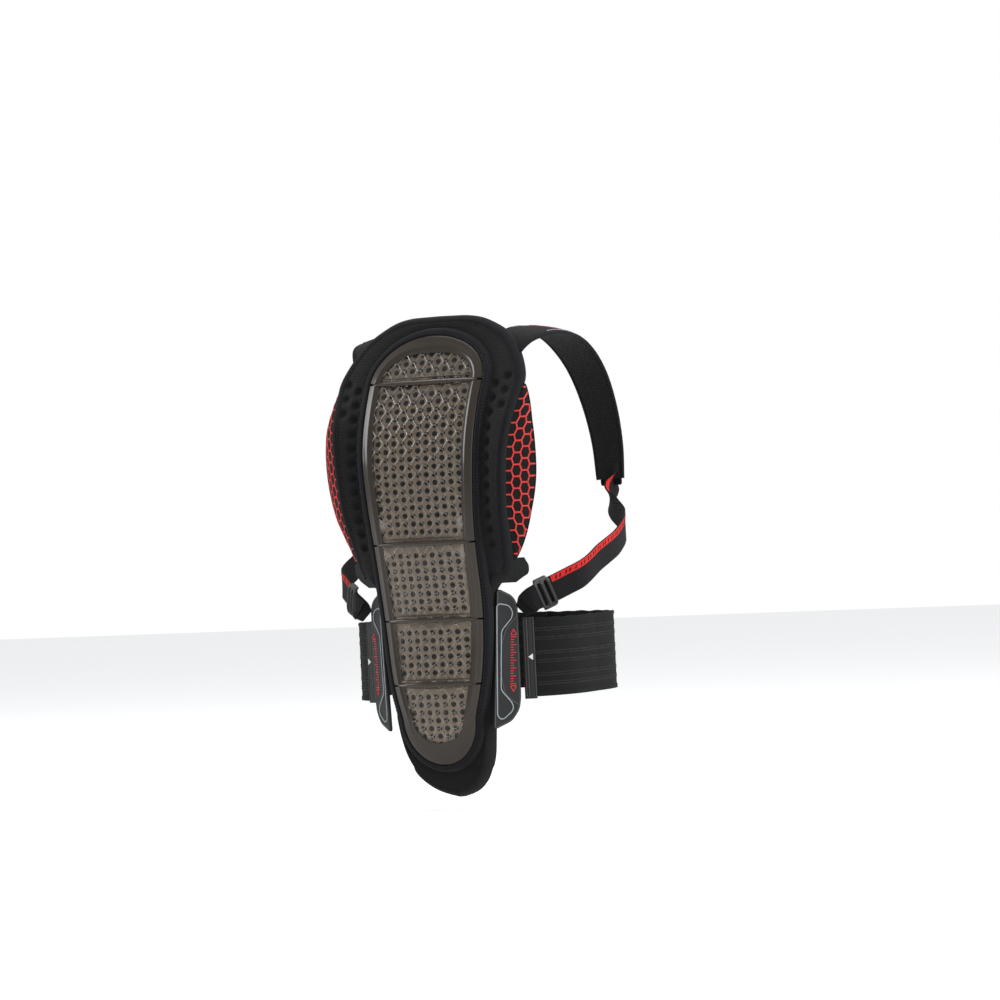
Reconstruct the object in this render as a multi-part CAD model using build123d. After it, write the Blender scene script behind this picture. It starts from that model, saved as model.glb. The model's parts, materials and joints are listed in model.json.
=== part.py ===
from build123d import *
import os
from math import cos, pi, radians, sin, sqrt, tan

# Motorcycle back protector: a five-section see-through shell over perforated foam, on a padded mesh back
# with stretch wings, shoulder straps, side straps and a height-adjustable waist belt.
# Frame: +Z up, -Y behind the wearer, +Y the wearer's front, +X the wearer's right.
# Origin: on the axis of the wearer's trunk, level with the lowest tip of the tail.
# "Depth" is Y. "Layer" distances are counted backwards (-Y) from the face that touches the wearer's back.

# ---------------------------------------------------------------- back and layers
# Stations up the back: height, depth of the wearer's back on the centre line, radius of the back across it
BACK_STATIONS = [
    (-12, -64, 180),
    (0, -72, 180),
    (36, -94, 180),
    (76, -106, 180),
    (123, -110, 180),
    (190, -112, 200),
    (270, -124, 300),
    (308, -125.5, 1200),
    (362, -127, 2000),
    (436, -101, 1200),
    (491, -72, 700),
    (522, -54, 600),
]
SLAB_HALF_WIDTH = 125
PIECE_GAP = 0.3
LINER_T = 4
BACKING_T = 16
POCKET_T = 13.5
FOAM_T = 19.5
BINDING_T = 21.5
SHELL_T = 23
RIB_T = 26.8
TAIL_T = 19

# ---------------------------------------------------------------- sections and flex lines
RIB_HEIGHTS = [441, 271, 190, 122]
RIB_HALF_HEIGHT = 2.6
RIB_CLEARANCE = 0.9
FLEX_FORWARD_DEG = 6
FLEX_BACK_DEG = 3
FLEX_GAP = 0.7
FLEX_AXIS_BEHIND_BACK = 5
FAR = 260

# ---------------------------------------------------------------- outlines seen from behind
SHELL_HALF_WIDTHS = [(441, 66), (362, 64.5), (271, 59.5), (190, 57.5), (122, 51), (85, 42.5)]
SHELL_TOP = 491
SHELL_BOTTOM = 36
BINDING_WIDTH = 6.5
RIB_SIDE_INSET = 3
PAD_SIDE = [
    (441, 110), (411, 106), (362, 99.5), (313, 95.5),
    (271, 92), (240, 90), (220, 65.5), (190, 64.5),
]
PAD_LOW_SIDE = [(122, 60), (70, 55)]
TAIL_CURVE = [(46, 51), (24, 42), (7, 24)]
TAIL_TOP = SHELL_BOTTOM - BINDING_WIDTH - 1.5
CAP_HALF_WIDTH = 77
CAP_TOP = 508
YOKE_GAP = 3
YOKE_BOTTOM = 443

# ---------------------------------------------------------------- stretch wings and side panels
WING_BOTTOM = 252
WING_TOP = 432
WING_REACH = 28
WING_END_REACH = 3
WING_THICKNESS = 2
PAD_EDGE_CLEARANCE = 2.5
PANEL_BOTTOM = 234
PANEL_TOP = 250
PANEL_INNER_X = 96
PANEL_REACH_TOP = 9
PANEL_REACH_BOTTOM = 12

# ---------------------------------------------------------------- waist adjustment plates
PLATE_X = 67
PLATE_Y = -115.5
PLATE_SLOPE_DEG = 36.5
PLATE_THICKNESS = 3.5
PLATE_OUTLINE = [
    (2, 218.5), (6, 219.5), (18, 213), (22.5, 207), (24.2, 200),
    (23.4, 105), (21.4, 93), (13, 81), (-8, 72),
]
PIPING_OUTLINE = [
    (1.5, 202), (4.5, 204.5), (15, 202), (18.3, 195), (17, 189), (5.2, 176), (1.8, 114),
    (12.5, 101), (14.4, 95.5), (12.5, 91), (3.5, 83.5), (-1, 84), (-3.2, 88),
]
PIPING_WIDTH = 1.2
RAISED = 0.8
SCALE_TOP_Z = 169
SCALE_PITCH = 2.73
SCALE_MARKS = 19
SCALE_INNER = 15
SCALE_LEAN = 3
LONG_MARK = 6.2
SHORT_MARK = 3.6
MARK_HEIGHT = 1.1
ARROW_HEIGHT = 6

# ---------------------------------------------------------------- waist belt
TRUNK_POWER = 3
WAIST_HALF_WIDTH = 127.5
WAIST_HALF_DEPTH = 106
BELT_BOTTOM = 105
BELT_TOP = 189
END_STRIP_BOTTOM = 103
BELT_THICKNESS = 2.6
FRONT_LAP_STEP = 6.6
END_STRIP_ANGLES = (42.6, 48)
ELASTIC_ANGLES = (48.5, 97.4)
FRONT_ANGLES = (99, 193)
PATCH_ANGLES = (170, 190)
PATCH_THICKNESS = 1.1
PATCH_INSET = 8
POINTER_ANGLES = (44.8, 46.8)
POINTER_HALF_HEIGHT = 3.4

# ---------------------------------------------------------------- straps and buckles
# Half width and half depth of the trunk at the height of the side strap, by height
CHEST_STATIONS = [(190, 129, 107), (212, 131, 108), (250, 140, 112), (300, 150, 118), (520, 150, 118)]
STRAP_WIDTH = 28
STRAP_THICKNESS = 2.4
STRAP_OFFSET = 10.5
STRAP_REAR = (46.5, 207)
STRAP_RUN_END = (66, 229)
BUCKLE_FROM_REAR = 18
BUCKLE_LENGTH = 22
BUCKLE_HEIGHT = 35
BUCKLE_DEPTH = 7.6
SLOT_CLEARANCE = 0.8
SIDE_STRAP_FRONT = [(84, 248, 6), (104, 265, 5), (121, 283, 5), (134, 308, 5)]
ANCHOR_POINTS = [(43.8, 200, 9.2), (45.2, 203, 9.9)]
ANCHOR_WIDTH = 26
ANCHOR_GAP = 10
SHOULDER_PATH = [
    (88, -82, 477), (89, -45, 488), (92, -5, 489), (96, 35, 478),
    (100, 74, 450), (103, 101, 408), (105, 112, 368), (106, 112, 332),
]
SHOULDER_WIDTHS = [44, 50, 52, 50, 44, 38, 33, 29]
SHOULDER_THICKNESS = 4


# ---------------------------------------------------------------- helpers
def between(stations, height, column=1):
    """Linear value at a height from a list of stations whose first column is the height."""
    rows = sorted(stations)
    for low, high in zip(rows, rows[1:]):
        if low[0] <= height <= high[0]:
            share = (height - low[0]) / (high[0] - low[0])
            return low[column] + share * (high[column] - low[column])
    return rows[0][column] if height < rows[0][0] else rows[-1][column]


def sagitta(x, height):
    """How far the curve across the back has come forward at a distance x from the centre line."""
    radius = between(BACK_STATIONS, height, 2)
    return radius - sqrt(radius**2 - x**2)


def layer_face(height, depth, radius, near, far):
    """Curved strip across the back at one height, between two layer distances."""
    drop = radius - sqrt(radius**2 - SLAB_HALF_WIDTH**2)
    corners = []
    for layer in (near, far):
        centre = Vector(0, depth - layer, height)
        left = Vector(-SLAB_HALF_WIDTH, depth - layer + drop, height)
        right = Vector(SLAB_HALF_WIDTH, depth - layer + drop, height)
        corners.append((left, centre, right))
    inner = ThreePointArc(*corners[0])
    right_side = Line(corners[0][2], corners[1][2])
    outer = ThreePointArc(*reversed(corners[1]))
    left_side = Line(corners[1][0], corners[0][0])
    return Face(Wire([inner, right_side, outer, left_side]))


def layer_slab(near, far):
    """Whole-back solid between two layer distances, lofted up the stations."""
    return Solid.make_loft([layer_face(*row, near, far).outer_wire() for row in BACK_STATIONS])


def prism(outline_wire):
    """Cutter: an outline drawn in the XZ plane, carried right through the back."""
    return extrude(Face(outline_wire), amount=FAR, dir=(0, -1, 0), both=True)


def half_to_wire(edges):
    """Closed symmetric outline from the edges of its right half, which starts and ends on X = 0."""
    mirrored = [edge.mirror(Plane.YZ) for edge in edges]
    return Wire(edges + mirrored)


def shell_outline(grow):
    """Outline of the shell, grown outwards: arched top, tapering sides and a rounded lower end."""
    sides = [(x + grow, 0, z) for z, x in SHELL_HALF_WIDTHS]
    shoulder = sides[0]
    hip = sides[-1]
    top_rise = SHELL_TOP + grow - shoulder[2]
    low_drop = hip[2] - (SHELL_BOTTOM - grow)
    top = Plane.XZ * EllipticalCenterArc((0, shoulder[2]), shoulder[0], top_rise, arc_size=90)
    low = Plane.XZ * EllipticalCenterArc((0, hip[2]), hip[0], low_drop, 270, arc_size=90)
    side = Spline(*sides)
    return half_to_wire([top, side, low])


def pad_outline():
    """Outline of the padded back below the cap, wide at the shoulder blades and rounded at the tail."""
    sides = [(x, 0, z) for z, x in PAD_SIDE + PAD_LOW_SIDE]
    side = Polyline(*sides)
    low = [sides[-1], *[(x, 0, z) for z, x in TAIL_CURVE], (0, 0, 0)]
    tail = Spline(*low, tangents=[(-0.1, 0, -1), (-1, 0, 0)])
    top = Line((0, 0, sides[0][2]), sides[0])
    return half_to_wire([top, *side.edges(), tail])


def arch_edges(half_width, top):
    """Quarter ellipse and base of the cap's arch, right half."""
    base = RIB_HEIGHTS[0]
    arch = Plane.XZ * EllipticalCenterArc((0, base), half_width, top - base, arc_size=90)
    floor = base - 10
    side = Line((half_width, 0, base), (half_width, 0, floor))
    bottom = Line((half_width, 0, floor), (0, 0, floor))
    return [arch, side, bottom]


def flex_axis(height):
    """Depth of the bending line at a rib."""
    return between(BACK_STATIONS, height) - FLEX_AXIS_BEHIND_BACK


def section_cutter(low, high):
    """Cutter for one section. Its ends are roof-shaped, to leave a wedge for bending each way."""
    forward = tan(radians(FLEX_FORWARD_DEG / 2 + 0.2))
    back = tan(radians(FLEX_BACK_DEG / 2 + 0.2))
    points = []
    if high is None:
        points += [(FAR, 700), (-FAR, 700)]
    else:
        axis = flex_axis(high)
        top = high - FLEX_GAP / 2
        points += [(FAR, top - (FAR - axis) * forward), (axis, top), (-FAR, top - (axis + FAR) * back)]
    if low is None:
        points += [(-FAR, -90), (FAR, -90)]
    else:
        axis = flex_axis(low)
        floor = low + FLEX_GAP / 2
        points += [(-FAR, floor + (axis + FAR) * back), (axis, floor), (FAR, floor + (FAR - axis) * forward)]
    face = Face(Wire.make_polygon([Vector(0, y, z) for y, z in points]))
    return extrude(face, amount=FAR, dir=(1, 0, 0), both=True)


def save(name, shape):
    """Writes one named piece."""
    solids = shape.solids()
    piece = solids[0] if len(solids) == 1 else Compound(solids)
    export_step(piece, f"parts/{name}.step")


def save_pair(name, shape):
    """Writes a right-hand piece and its left-hand mirror image."""
    save(f"{name}_right", shape)
    save(f"{name}_left", mirror(shape, about=Plane.YZ))


def trunk_size(height):
    """Half width and half depth of the wearer's trunk at a height."""
    return between(CHEST_STATIONS, height), between(CHEST_STATIONS, height, 2)


def trunk_point(angle, half_width, half_depth, offset, height=0):
    """Point at an angle round the trunk (0 behind, 90 at the right side), moved out from it by an offset."""
    across = sin(radians(angle))
    back = -cos(radians(angle))
    swell = abs(across / half_width) ** TRUNK_POWER + abs(back / half_depth) ** TRUNK_POWER
    scale = swell ** (-1 / TRUNK_POWER)
    x = across * scale
    y = back * scale
    normal = Vector(
        (abs(x) / half_width) ** (TRUNK_POWER - 1) / half_width * (1 if x > 0 else -1),
        (abs(y) / half_depth) ** (TRUNK_POWER - 1) / half_depth * (1 if y > 0 else -1),
        0,
    ).normalized()
    return Vector(x, y, height) + normal * offset


def waist_band(angles, offsets, heights, lap=0):
    """Upright band round the waist between two angles, two offsets and two heights."""
    steps = 8
    inner = []
    outer = []
    for step in range(steps + 1):
        angle = angles[0] + (angles[1] - angles[0]) * step / steps
        forward = max(0, -cos(radians(angle)))
        lift = lap * forward
        inner.append(trunk_point(angle, WAIST_HALF_WIDTH, WAIST_HALF_DEPTH, offsets[0] + lift, heights[0]))
        outer.append(trunk_point(angle, WAIST_HALF_WIDTH, WAIST_HALF_DEPTH, offsets[1] + lift, heights[0]))
    edges = [Spline(*inner), Line(inner[-1], outer[-1]), Spline(*outer), Line(outer[0], inner[0])]
    return extrude(Face(Wire(edges)), amount=heights[1] - heights[0], dir=(0, 0, 1))


def ribbon(points, widths, thickness, across):
    """Flat webbing lofted through points. Its width lies near the direction "across"."""
    wires = []
    last = len(points) - 1
    for index, point in enumerate(points):
        tangent = (points[min(index + 1, last)] - points[max(index - 1, 0)]).normalized()
        side = (across - tangent * across.dot(tangent)).normalized()
        plane = Plane(origin=point, x_dir=side, z_dir=tangent)
        wires.append((plane * Rectangle(widths[index], thickness)).wire())
    return Solid.make_loft(wires)


# ---------------------------------------------------------------- back sections
def back_sections():
    """Writes the pieces of the five sections, from the cap down, and the ribs over the flex lines."""
    liner = layer_slab(0, LINER_T)
    backing = layer_slab(LINER_T + PIECE_GAP, BACKING_T)
    pocket = layer_slab(POCKET_T, BACKING_T + 20)
    foam = layer_slab(POCKET_T + PIECE_GAP, FOAM_T)
    binding = layer_slab(POCKET_T + PIECE_GAP, BINDING_T)
    shell = layer_slab(FOAM_T + PIECE_GAP, SHELL_T)
    ridge = layer_slab(SHELL_T + RIB_CLEARANCE, RIB_T)

    shell_area = prism(shell_outline(0))
    window = prism(shell_outline(PIECE_GAP))
    binding_area = prism(shell_outline(BINDING_WIDTH)) - window
    pocket_cut = pocket & prism(shell_outline(BINDING_WIDTH + PIECE_GAP))
    back_area = prism(pad_outline())
    cap_area = prism(half_to_wire(arch_edges(CAP_HALF_WIDTH, CAP_TOP)))

    ends = [None, *RIB_HEIGHTS, None]
    for index in range(5):
        number = index + 1
        cutter = section_cutter(ends[index + 1], ends[index])
        area = cap_area if index == 0 else back_area
        if index == 4:
            above_tail = Pos(0, 0, TAIL_TOP + PIECE_GAP + 300) * Box(2 * FAR, 2 * FAR, 600)
            area = area & above_tail
        save(f"comfort_liner_{number}", liner & area & cutter)
        save(f"backing_pad_{number}", (backing & area & cutter) - pocket_cut)
        save(f"perforated_foam_{number}", foam & shell_area & cutter)
        save(f"shell_plate_{number}", shell & shell_area & cutter)
        save(f"shell_binding_{number}", binding & binding_area & cutter)

    rib_area = prism(shell_outline(-RIB_SIDE_INSET))
    for index, height in enumerate(RIB_HEIGHTS):
        strip = Pos(0, 0, height) * Box(2 * FAR, 2 * FAR, 2 * RIB_HALF_HEIGHT)
        save(f"shell_rib_{index + 1}", ridge & rib_area & strip)

    below = Pos(0, 0, TAIL_TOP - 100) * Box(2 * FAR, 2 * FAR, 200)
    save("tail_pad", layer_slab(0, TAIL_T) & back_area & below)


# ---------------------------------------------------------------- soft side pieces
def side_sheet(heights, inner_of, reach_of):
    """Thin fabric sheet that leaves the pad's edge at 45 degrees, lofted over heights."""
    wires = []
    for height in heights:
        x = inner_of(height)
        y = between(BACK_STATIONS, height) - BACKING_T / 2 + sagitta(x, height)
        reach = reach_of(height)
        inner_face = [(x, y), (x + reach, y + reach)]
        corners = [*inner_face, (x + reach, y + reach - WING_THICKNESS), (x, y - WING_THICKNESS)]
        wires.append(Wire.make_polygon([Vector(u, v, height) for u, v in corners]))
    return Solid.make_loft(wires)


def wing_reach(height):
    """Width of the stretch wing at a height: a lens between its two tips."""
    share = (height - WING_BOTTOM) / (WING_TOP - WING_BOTTOM)
    return WING_END_REACH + (WING_REACH - WING_END_REACH) * sin(pi * share) ** 0.8


def soft_sides():
    """Stretch wings along the shoulder blades, and the small side panels below them."""
    steps = 8
    wing_heights = [WING_BOTTOM + (WING_TOP - WING_BOTTOM) * step / steps for step in range(steps + 1)]

    def pad_edge(height):
        return between(PAD_SIDE, height) + PAD_EDGE_CLEARANCE

    save_pair("stretch_wing", side_sheet(wing_heights, pad_edge, wing_reach))

    panel = [(PANEL_BOTTOM, PANEL_REACH_BOTTOM), (PANEL_TOP, PANEL_REACH_TOP)]
    sheet = side_sheet([PANEL_BOTTOM, PANEL_TOP], lambda z: PANEL_INNER_X, lambda z: between(panel, z))
    save_pair("side_panel", sheet)


# ---------------------------------------------------------------- waist adjustment plates
def plate_plane():
    """Plane of the right plate's outer face: x runs outwards along it, y is up."""
    slope = radians(PLATE_SLOPE_DEG)
    across = (cos(slope), sin(slope), 0)
    outward = (sin(slope), -cos(slope), 0)
    return Plane(origin=(PLATE_X, PLATE_Y, 0), x_dir=across, z_dir=outward)


def plates():
    """Moulded plate with its raised outline piping and its height scale."""
    plane = plate_plane()
    blank = Face(Wire.make_polygon([Vector(u, z, 0) for u, z in PLATE_OUTLINE]))
    inwards = plane.z_dir * -1
    body = extrude(plane * blank, amount=PLATE_THICKNESS, dir=inwards)
    save_pair("adjustment_plate", body)

    outer = Face(Wire.make_polygon([Vector(u, z, 0) for u, z in PIPING_OUTLINE]))
    inner = offset(outer, amount=-PIPING_WIDTH)
    lift = plane.offset(PIECE_GAP / 3)
    ring = lift * (outer - inner)
    save_pair("plate_piping", extrude(ring, amount=RAISED, dir=plane.z_dir))

    marks = []
    for index in range(SCALE_MARKS):
        length = LONG_MARK if index % 3 == 0 else SHORT_MARK
        start = SCALE_INNER - SCALE_LEAN * index / (SCALE_MARKS - 1)
        centre = (start + length / 2, SCALE_TOP_Z - index * SCALE_PITCH)
        mark = lift * (Pos(*centre) * Rectangle(length, MARK_HEIGHT))
        marks.append(extrude(mark, amount=RAISED / 2, dir=plane.z_dir))
    scale_foot = SCALE_TOP_Z - (SCALE_MARKS - 1) * SCALE_PITCH
    top_arrow = (SCALE_INNER, SCALE_TOP_Z + 2, ARROW_HEIGHT)
    foot_arrow = (SCALE_INNER - SCALE_LEAN, scale_foot - 2, -ARROW_HEIGHT)
    for left, base, tip in (top_arrow, foot_arrow):
        corners = [Vector(left, base), Vector(left + LONG_MARK, base), Vector(left + LONG_MARK / 2, base + tip)]
        arrow = Face(Wire.make_polygon(corners))
        outline = lift * (arrow - offset(arrow, amount=-MARK_HEIGHT))
        marks.append(extrude(outline, amount=RAISED / 2, dir=plane.z_dir))
    save_pair("height_scale", Compound(marks))


# ---------------------------------------------------------------- waist belt
def belts():
    """Belt halves: stitched end strip, elastic side and front panel. The closure is where the fronts lap."""
    heights = (BELT_BOTTOM, BELT_TOP)
    layer = (PIECE_GAP, PIECE_GAP + BELT_THICKNESS)
    strip_heights = (END_STRIP_BOTTOM, BELT_TOP)
    save_pair("belt_end_strip", waist_band(END_STRIP_ANGLES, layer, strip_heights))
    save_pair("belt_elastic", waist_band(ELASTIC_ANGLES, layer, heights))

    face_out = layer[1] + PIECE_GAP
    middle = (BELT_BOTTOM + BELT_TOP) / 2
    pointer_heights = (middle - POINTER_HALF_HEIGHT, middle + POINTER_HALF_HEIGHT)
    save_pair("belt_pointer", waist_band(POINTER_ANGLES, (face_out, face_out + RAISED), pointer_heights))

    save("belt_front_right", waist_band(FRONT_ANGLES, layer, heights, FRONT_LAP_STEP))
    save("belt_front_left", mirror(waist_band(FRONT_ANGLES, layer, heights), about=Plane.YZ))

    patch_heights = (BELT_BOTTOM + PATCH_INSET, BELT_TOP - PATCH_INSET)
    loop = waist_band(PATCH_ANGLES, (face_out, face_out + PATCH_THICKNESS), patch_heights)
    save("closure_loop_patch", mirror(loop, about=Plane.YZ))
    hook_offsets = (layer[0] - PIECE_GAP - PATCH_THICKNESS, layer[0] - PIECE_GAP)
    save("closure_hook_patch", waist_band(PATCH_ANGLES, hook_offsets, patch_heights, FRONT_LAP_STEP))


# ---------------------------------------------------------------- straps and buckles
def strap_frame():
    """Point where the side strap starts, and its direction along its straight run."""
    start = trunk_point(STRAP_REAR[0], *trunk_size(STRAP_REAR[1]), STRAP_OFFSET, STRAP_REAR[1])
    end = trunk_point(STRAP_RUN_END[0], *trunk_size(STRAP_RUN_END[1]), STRAP_OFFSET, STRAP_RUN_END[1])
    return start, end, (end - start).normalized()


def buckle():
    """Ladder buckle: a frame with one slot along the strap and two windows in its outer face."""
    start, end, along = strap_frame()
    up = (Vector(0, 0, 1) - along * along.Z).normalized()
    outward = up.cross(along) * -1
    centre = start + along * BUCKLE_FROM_REAR
    plane = Plane(origin=centre, x_dir=along, z_dir=outward)
    body = Box(BUCKLE_LENGTH, BUCKLE_HEIGHT, BUCKLE_DEPTH)
    body = fillet(body.edges().filter_by(Axis.Z), 3)
    slot = Box(2 * BUCKLE_LENGTH, STRAP_WIDTH + 2 * SLOT_CLEARANCE, STRAP_THICKNESS + 2 * SLOT_CLEARANCE)
    bar = BUCKLE_LENGTH / 5
    window = Box(bar, STRAP_WIDTH, BUCKLE_DEPTH)
    body -= slot
    for side in (-1, 1):
        body -= Pos(side * bar, 0, BUCKLE_DEPTH / 2) * window
    return plane * body


def straps():
    """Side straps with their buckles and anchors, and the shoulder straps that grow out of the back's top."""
    start, end, along = strap_frame()
    upright = Vector(0, 0, 1)
    first = start + along * (BUCKLE_FROM_REAR - 4)
    straight = ribbon([first, end], [STRAP_WIDTH] * 2, STRAP_THICKNESS, upright)
    path = [end - along * 2, end]
    for angle, height, out in SIDE_STRAP_FRONT:
        path.append(trunk_point(angle, *trunk_size(height), out, height))
    curved = ribbon(path, [STRAP_WIDTH] * len(path), STRAP_THICKNESS, upright)
    save_pair("side_strap", straight + curved)
    save_pair("ladder_buckle", buckle())

    anchor = [trunk_point(angle, *trunk_size(height), out, height) for angle, height, out in ANCHOR_POINTS]
    anchor.append(start + along * (BUCKLE_FROM_REAR - BUCKLE_LENGTH / 2 - ANCHOR_GAP))
    save_pair("strap_anchor", ribbon(anchor, [ANCHOR_WIDTH] * len(anchor), STRAP_THICKNESS, upright))

    over = [Vector(*point) for point in SHOULDER_PATH]
    strap = ribbon(over, SHOULDER_WIDTHS, SHOULDER_THICKNESS, Vector(1, 0, -0.15))
    outer = [(110, YOKE_BOTTOM), (109, 455), (105, 470), (98, 483), (80, 493), (50, 507), (30, 510)]
    outline = Wire.make_polygon([Vector(x, 0, z) for x, z in [(60, YOKE_BOTTOM), *outer, (20, YOKE_BOTTOM)]])
    arch = half_to_wire(arch_edges(CAP_HALF_WIDTH + YOKE_GAP, CAP_TOP + YOKE_GAP))
    yoke = layer_slab(LINER_T + PIECE_GAP, BACKING_T) & prism(outline) - prism(arch)
    save_pair("shoulder_strap", yoke + strap)


os.makedirs("parts", exist_ok=True)
back_sections()
soft_sides()
plates()
belts()
straps()
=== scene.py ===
import json
import math

import bpy
import numpy as np
from mathutils import Matrix, Vector
from mathutils.bvhtree import BVHTree
from mathutils.geometry import delaunay_2d_cdt


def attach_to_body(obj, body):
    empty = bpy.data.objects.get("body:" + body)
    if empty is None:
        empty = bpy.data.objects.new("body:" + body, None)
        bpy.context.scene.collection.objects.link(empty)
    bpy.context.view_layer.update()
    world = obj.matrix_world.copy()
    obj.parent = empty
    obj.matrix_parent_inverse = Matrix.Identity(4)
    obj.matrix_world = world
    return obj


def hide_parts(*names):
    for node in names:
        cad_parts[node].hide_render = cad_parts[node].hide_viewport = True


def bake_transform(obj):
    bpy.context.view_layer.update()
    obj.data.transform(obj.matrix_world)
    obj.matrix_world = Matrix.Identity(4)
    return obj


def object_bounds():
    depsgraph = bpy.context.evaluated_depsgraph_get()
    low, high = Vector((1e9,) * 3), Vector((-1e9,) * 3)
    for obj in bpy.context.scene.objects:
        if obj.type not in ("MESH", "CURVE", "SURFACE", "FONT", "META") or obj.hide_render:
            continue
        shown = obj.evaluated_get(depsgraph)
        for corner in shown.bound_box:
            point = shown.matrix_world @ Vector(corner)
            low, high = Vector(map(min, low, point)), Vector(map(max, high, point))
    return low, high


# Looks of the back protector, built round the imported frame.
# Shapes are worked out in millimetres and turned into metres when a mesh is made.
# "Layer" is a distance counted backwards (-Y) from the face that touches the wearer's back.
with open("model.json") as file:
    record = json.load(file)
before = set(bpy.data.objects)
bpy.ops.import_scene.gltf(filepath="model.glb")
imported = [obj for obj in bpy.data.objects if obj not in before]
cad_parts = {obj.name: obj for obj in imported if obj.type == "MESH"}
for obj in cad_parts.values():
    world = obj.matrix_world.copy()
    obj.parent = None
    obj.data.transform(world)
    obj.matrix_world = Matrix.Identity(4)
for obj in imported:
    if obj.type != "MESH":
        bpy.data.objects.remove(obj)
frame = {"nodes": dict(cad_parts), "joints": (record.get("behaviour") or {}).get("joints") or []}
CAD_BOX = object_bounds()
MM = 0.001


# ================================================================ places taken from the frame
def cad_tree(*nodes):
    """Ray target made of CAD nodes, in millimetres."""
    verts = []
    faces = []
    for name in nodes:
        mesh = frame["nodes"][name].data
        start = len(verts)
        verts += [Vector(v.co) / MM for v in mesh.vertices]
        faces += [[start + i for i in p.vertices] for p in mesh.polygons]
    return BVHTree.FromPolygons(verts, faces)


def sampled_depth(tree, x, heights):
    """Depth of the face towards the wearer at a distance x from the centre line. Gaps are filled in."""
    depths = []
    for height in heights:
        hit = tree.ray_cast(Vector((x, 90, height)), Vector((0, -1, 0)))[0]
        depths.append(np.nan if hit is None else hit.y)
    depths = np.array(depths)
    known = ~np.isnan(depths)
    return np.interp(heights, heights[known], depths[known])


JOINT = {joint["name"]: joint for joint in frame["joints"]}
FLEX_JOINTS = ("flex_cap", "flex_upper", "flex_lumbar", "flex_tail")
RIB_HEIGHTS = [JOINT[name]["pos_m"][2] / MM for name in FLEX_JOINTS]
SECTION_BODIES = ["cap", "upper_back", "mid_back", "lumbar", "tail"]
LINERS = cad_tree(*[f"comfort_liner_{n}" for n in range(1, 6)], "tail_pad")
SAMPLE_HEIGHTS = np.arange(4.0, 500.0, 6.0)
SAMPLE_X = 36.0
CENTRE_DEPTH = sampled_depth(LINERS, 0.01, SAMPLE_HEIGHTS)
SIDE_DEPTH = sampled_depth(LINERS, SAMPLE_X, SAMPLE_HEIGHTS)
DROP = np.clip(SIDE_DEPTH - CENTRE_DEPTH, 0.35, None)
RADIUS = (SAMPLE_X**2 + DROP**2) / (2 * DROP)
SMOOTHING = np.ones(5) / 5


def smooth_row(values):
    """Running mean that keeps both ends."""
    padded = np.pad(values, 2, mode="reflect", reflect_type="odd")
    return np.convolve(padded, SMOOTHING, mode="valid")


CENTRE_DEPTH = smooth_row(CENTRE_DEPTH)
RADIUS = smooth_row(RADIUS)


def linear(values, heights):
    """Value at each height, running on in a straight line past the ends."""
    inside = np.interp(heights, SAMPLE_HEIGHTS, values)
    low_slope = (values[1] - values[0]) / (SAMPLE_HEIGHTS[1] - SAMPLE_HEIGHTS[0])
    high_slope = (values[-1] - values[-2]) / (SAMPLE_HEIGHTS[-1] - SAMPLE_HEIGHTS[-2])
    below = np.minimum(heights - SAMPLE_HEIGHTS[0], 0) * low_slope
    above = np.maximum(heights - SAMPLE_HEIGHTS[-1], 0) * high_slope
    return inside + below + above


# The padded back's sides curl backwards at chest height, from CURL_START outwards
CURL_DEPTH = 9.0
CURL_START, CURL_RUN = 70, 32
CURL_Z, CURL_SHARE = [240, 300, 395, 436], [0, 1, 1, 0]


def on_back(x, z, layer):
    """Points (n, 3) on the back at side distance x, height z and layer distance."""
    x, z, layer = np.broadcast_arrays(*(np.asarray(v, float) for v in (x, z, layer)))
    radius = np.interp(z, SAMPLE_HEIGHTS, RADIUS)
    depth = CURL_DEPTH * np.interp(z, CURL_Z, CURL_SHARE)
    curl = depth * np.clip((np.abs(x) - CURL_START) / CURL_RUN, 0, 1.2) ** 1.3
    y = linear(CENTRE_DEPTH, z) - layer - curl + radius - np.sqrt(radius**2 - x**2)
    return np.stack([x, y, z], axis=-1)


# ================================================================ mesh tools
def running_length(points):
    """Distance travelled at each of a row of points."""
    return np.concatenate([[0], np.cumsum(np.linalg.norm(np.diff(points, axis=0), axis=1))])


def unit_rows(vectors):
    """Rows of vectors, each scaled to a length of 1."""
    return vectors / np.linalg.norm(vectors, axis=1)[:, None]


def loop_area(loop):
    """Twice the area of a closed loop (m, 2), positive when it runs counter-clockwise."""
    return np.sum(loop[:, 0] * np.roll(loop[:, 1], -1) - np.roll(loop[:, 0], -1) * loop[:, 1])


def face_count(parts):
    """Number of faces in several (points, faces) pairs."""
    return sum(len(faces) for _, faces in parts)


def new_piece(name, verts, faces, materials, smooth=40, slots=None, uv=None):
    """Mesh object from millimetre points, shaded smooth except at edges sharper than "smooth" degrees.

    uv is each point's place on the fabric, in millimetres.
    """
    mesh = bpy.data.meshes.new(name)
    points = [tuple(v) for v in np.asarray(verts, float) * MM]
    mesh.from_pydata(points, [], [list(map(int, f)) for f in faces])
    for item in materials if isinstance(materials, (list, tuple)) else [materials]:
        mesh.materials.append(item)
    if slots is not None:
        mesh.polygons.foreach_set("material_index", np.asarray(slots, dtype=np.int32))
    if uv is not None:
        corners = np.zeros(len(mesh.loops), dtype=np.int32)
        mesh.loops.foreach_get("vertex_index", corners)
        layer = mesh.uv_layers.new(name="mm")
        layer.data.foreach_set("uv", np.asarray(uv, float)[corners].astype(np.float32).ravel())
    mesh.validate()
    mesh.polygons.foreach_set("use_smooth", [True] * len(mesh.polygons))
    mesh.set_sharp_from_angle(angle=math.radians(smooth))
    mesh.update()
    piece = bpy.data.objects.new(name, mesh)
    bpy.context.scene.collection.objects.link(piece)
    return piece


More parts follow.
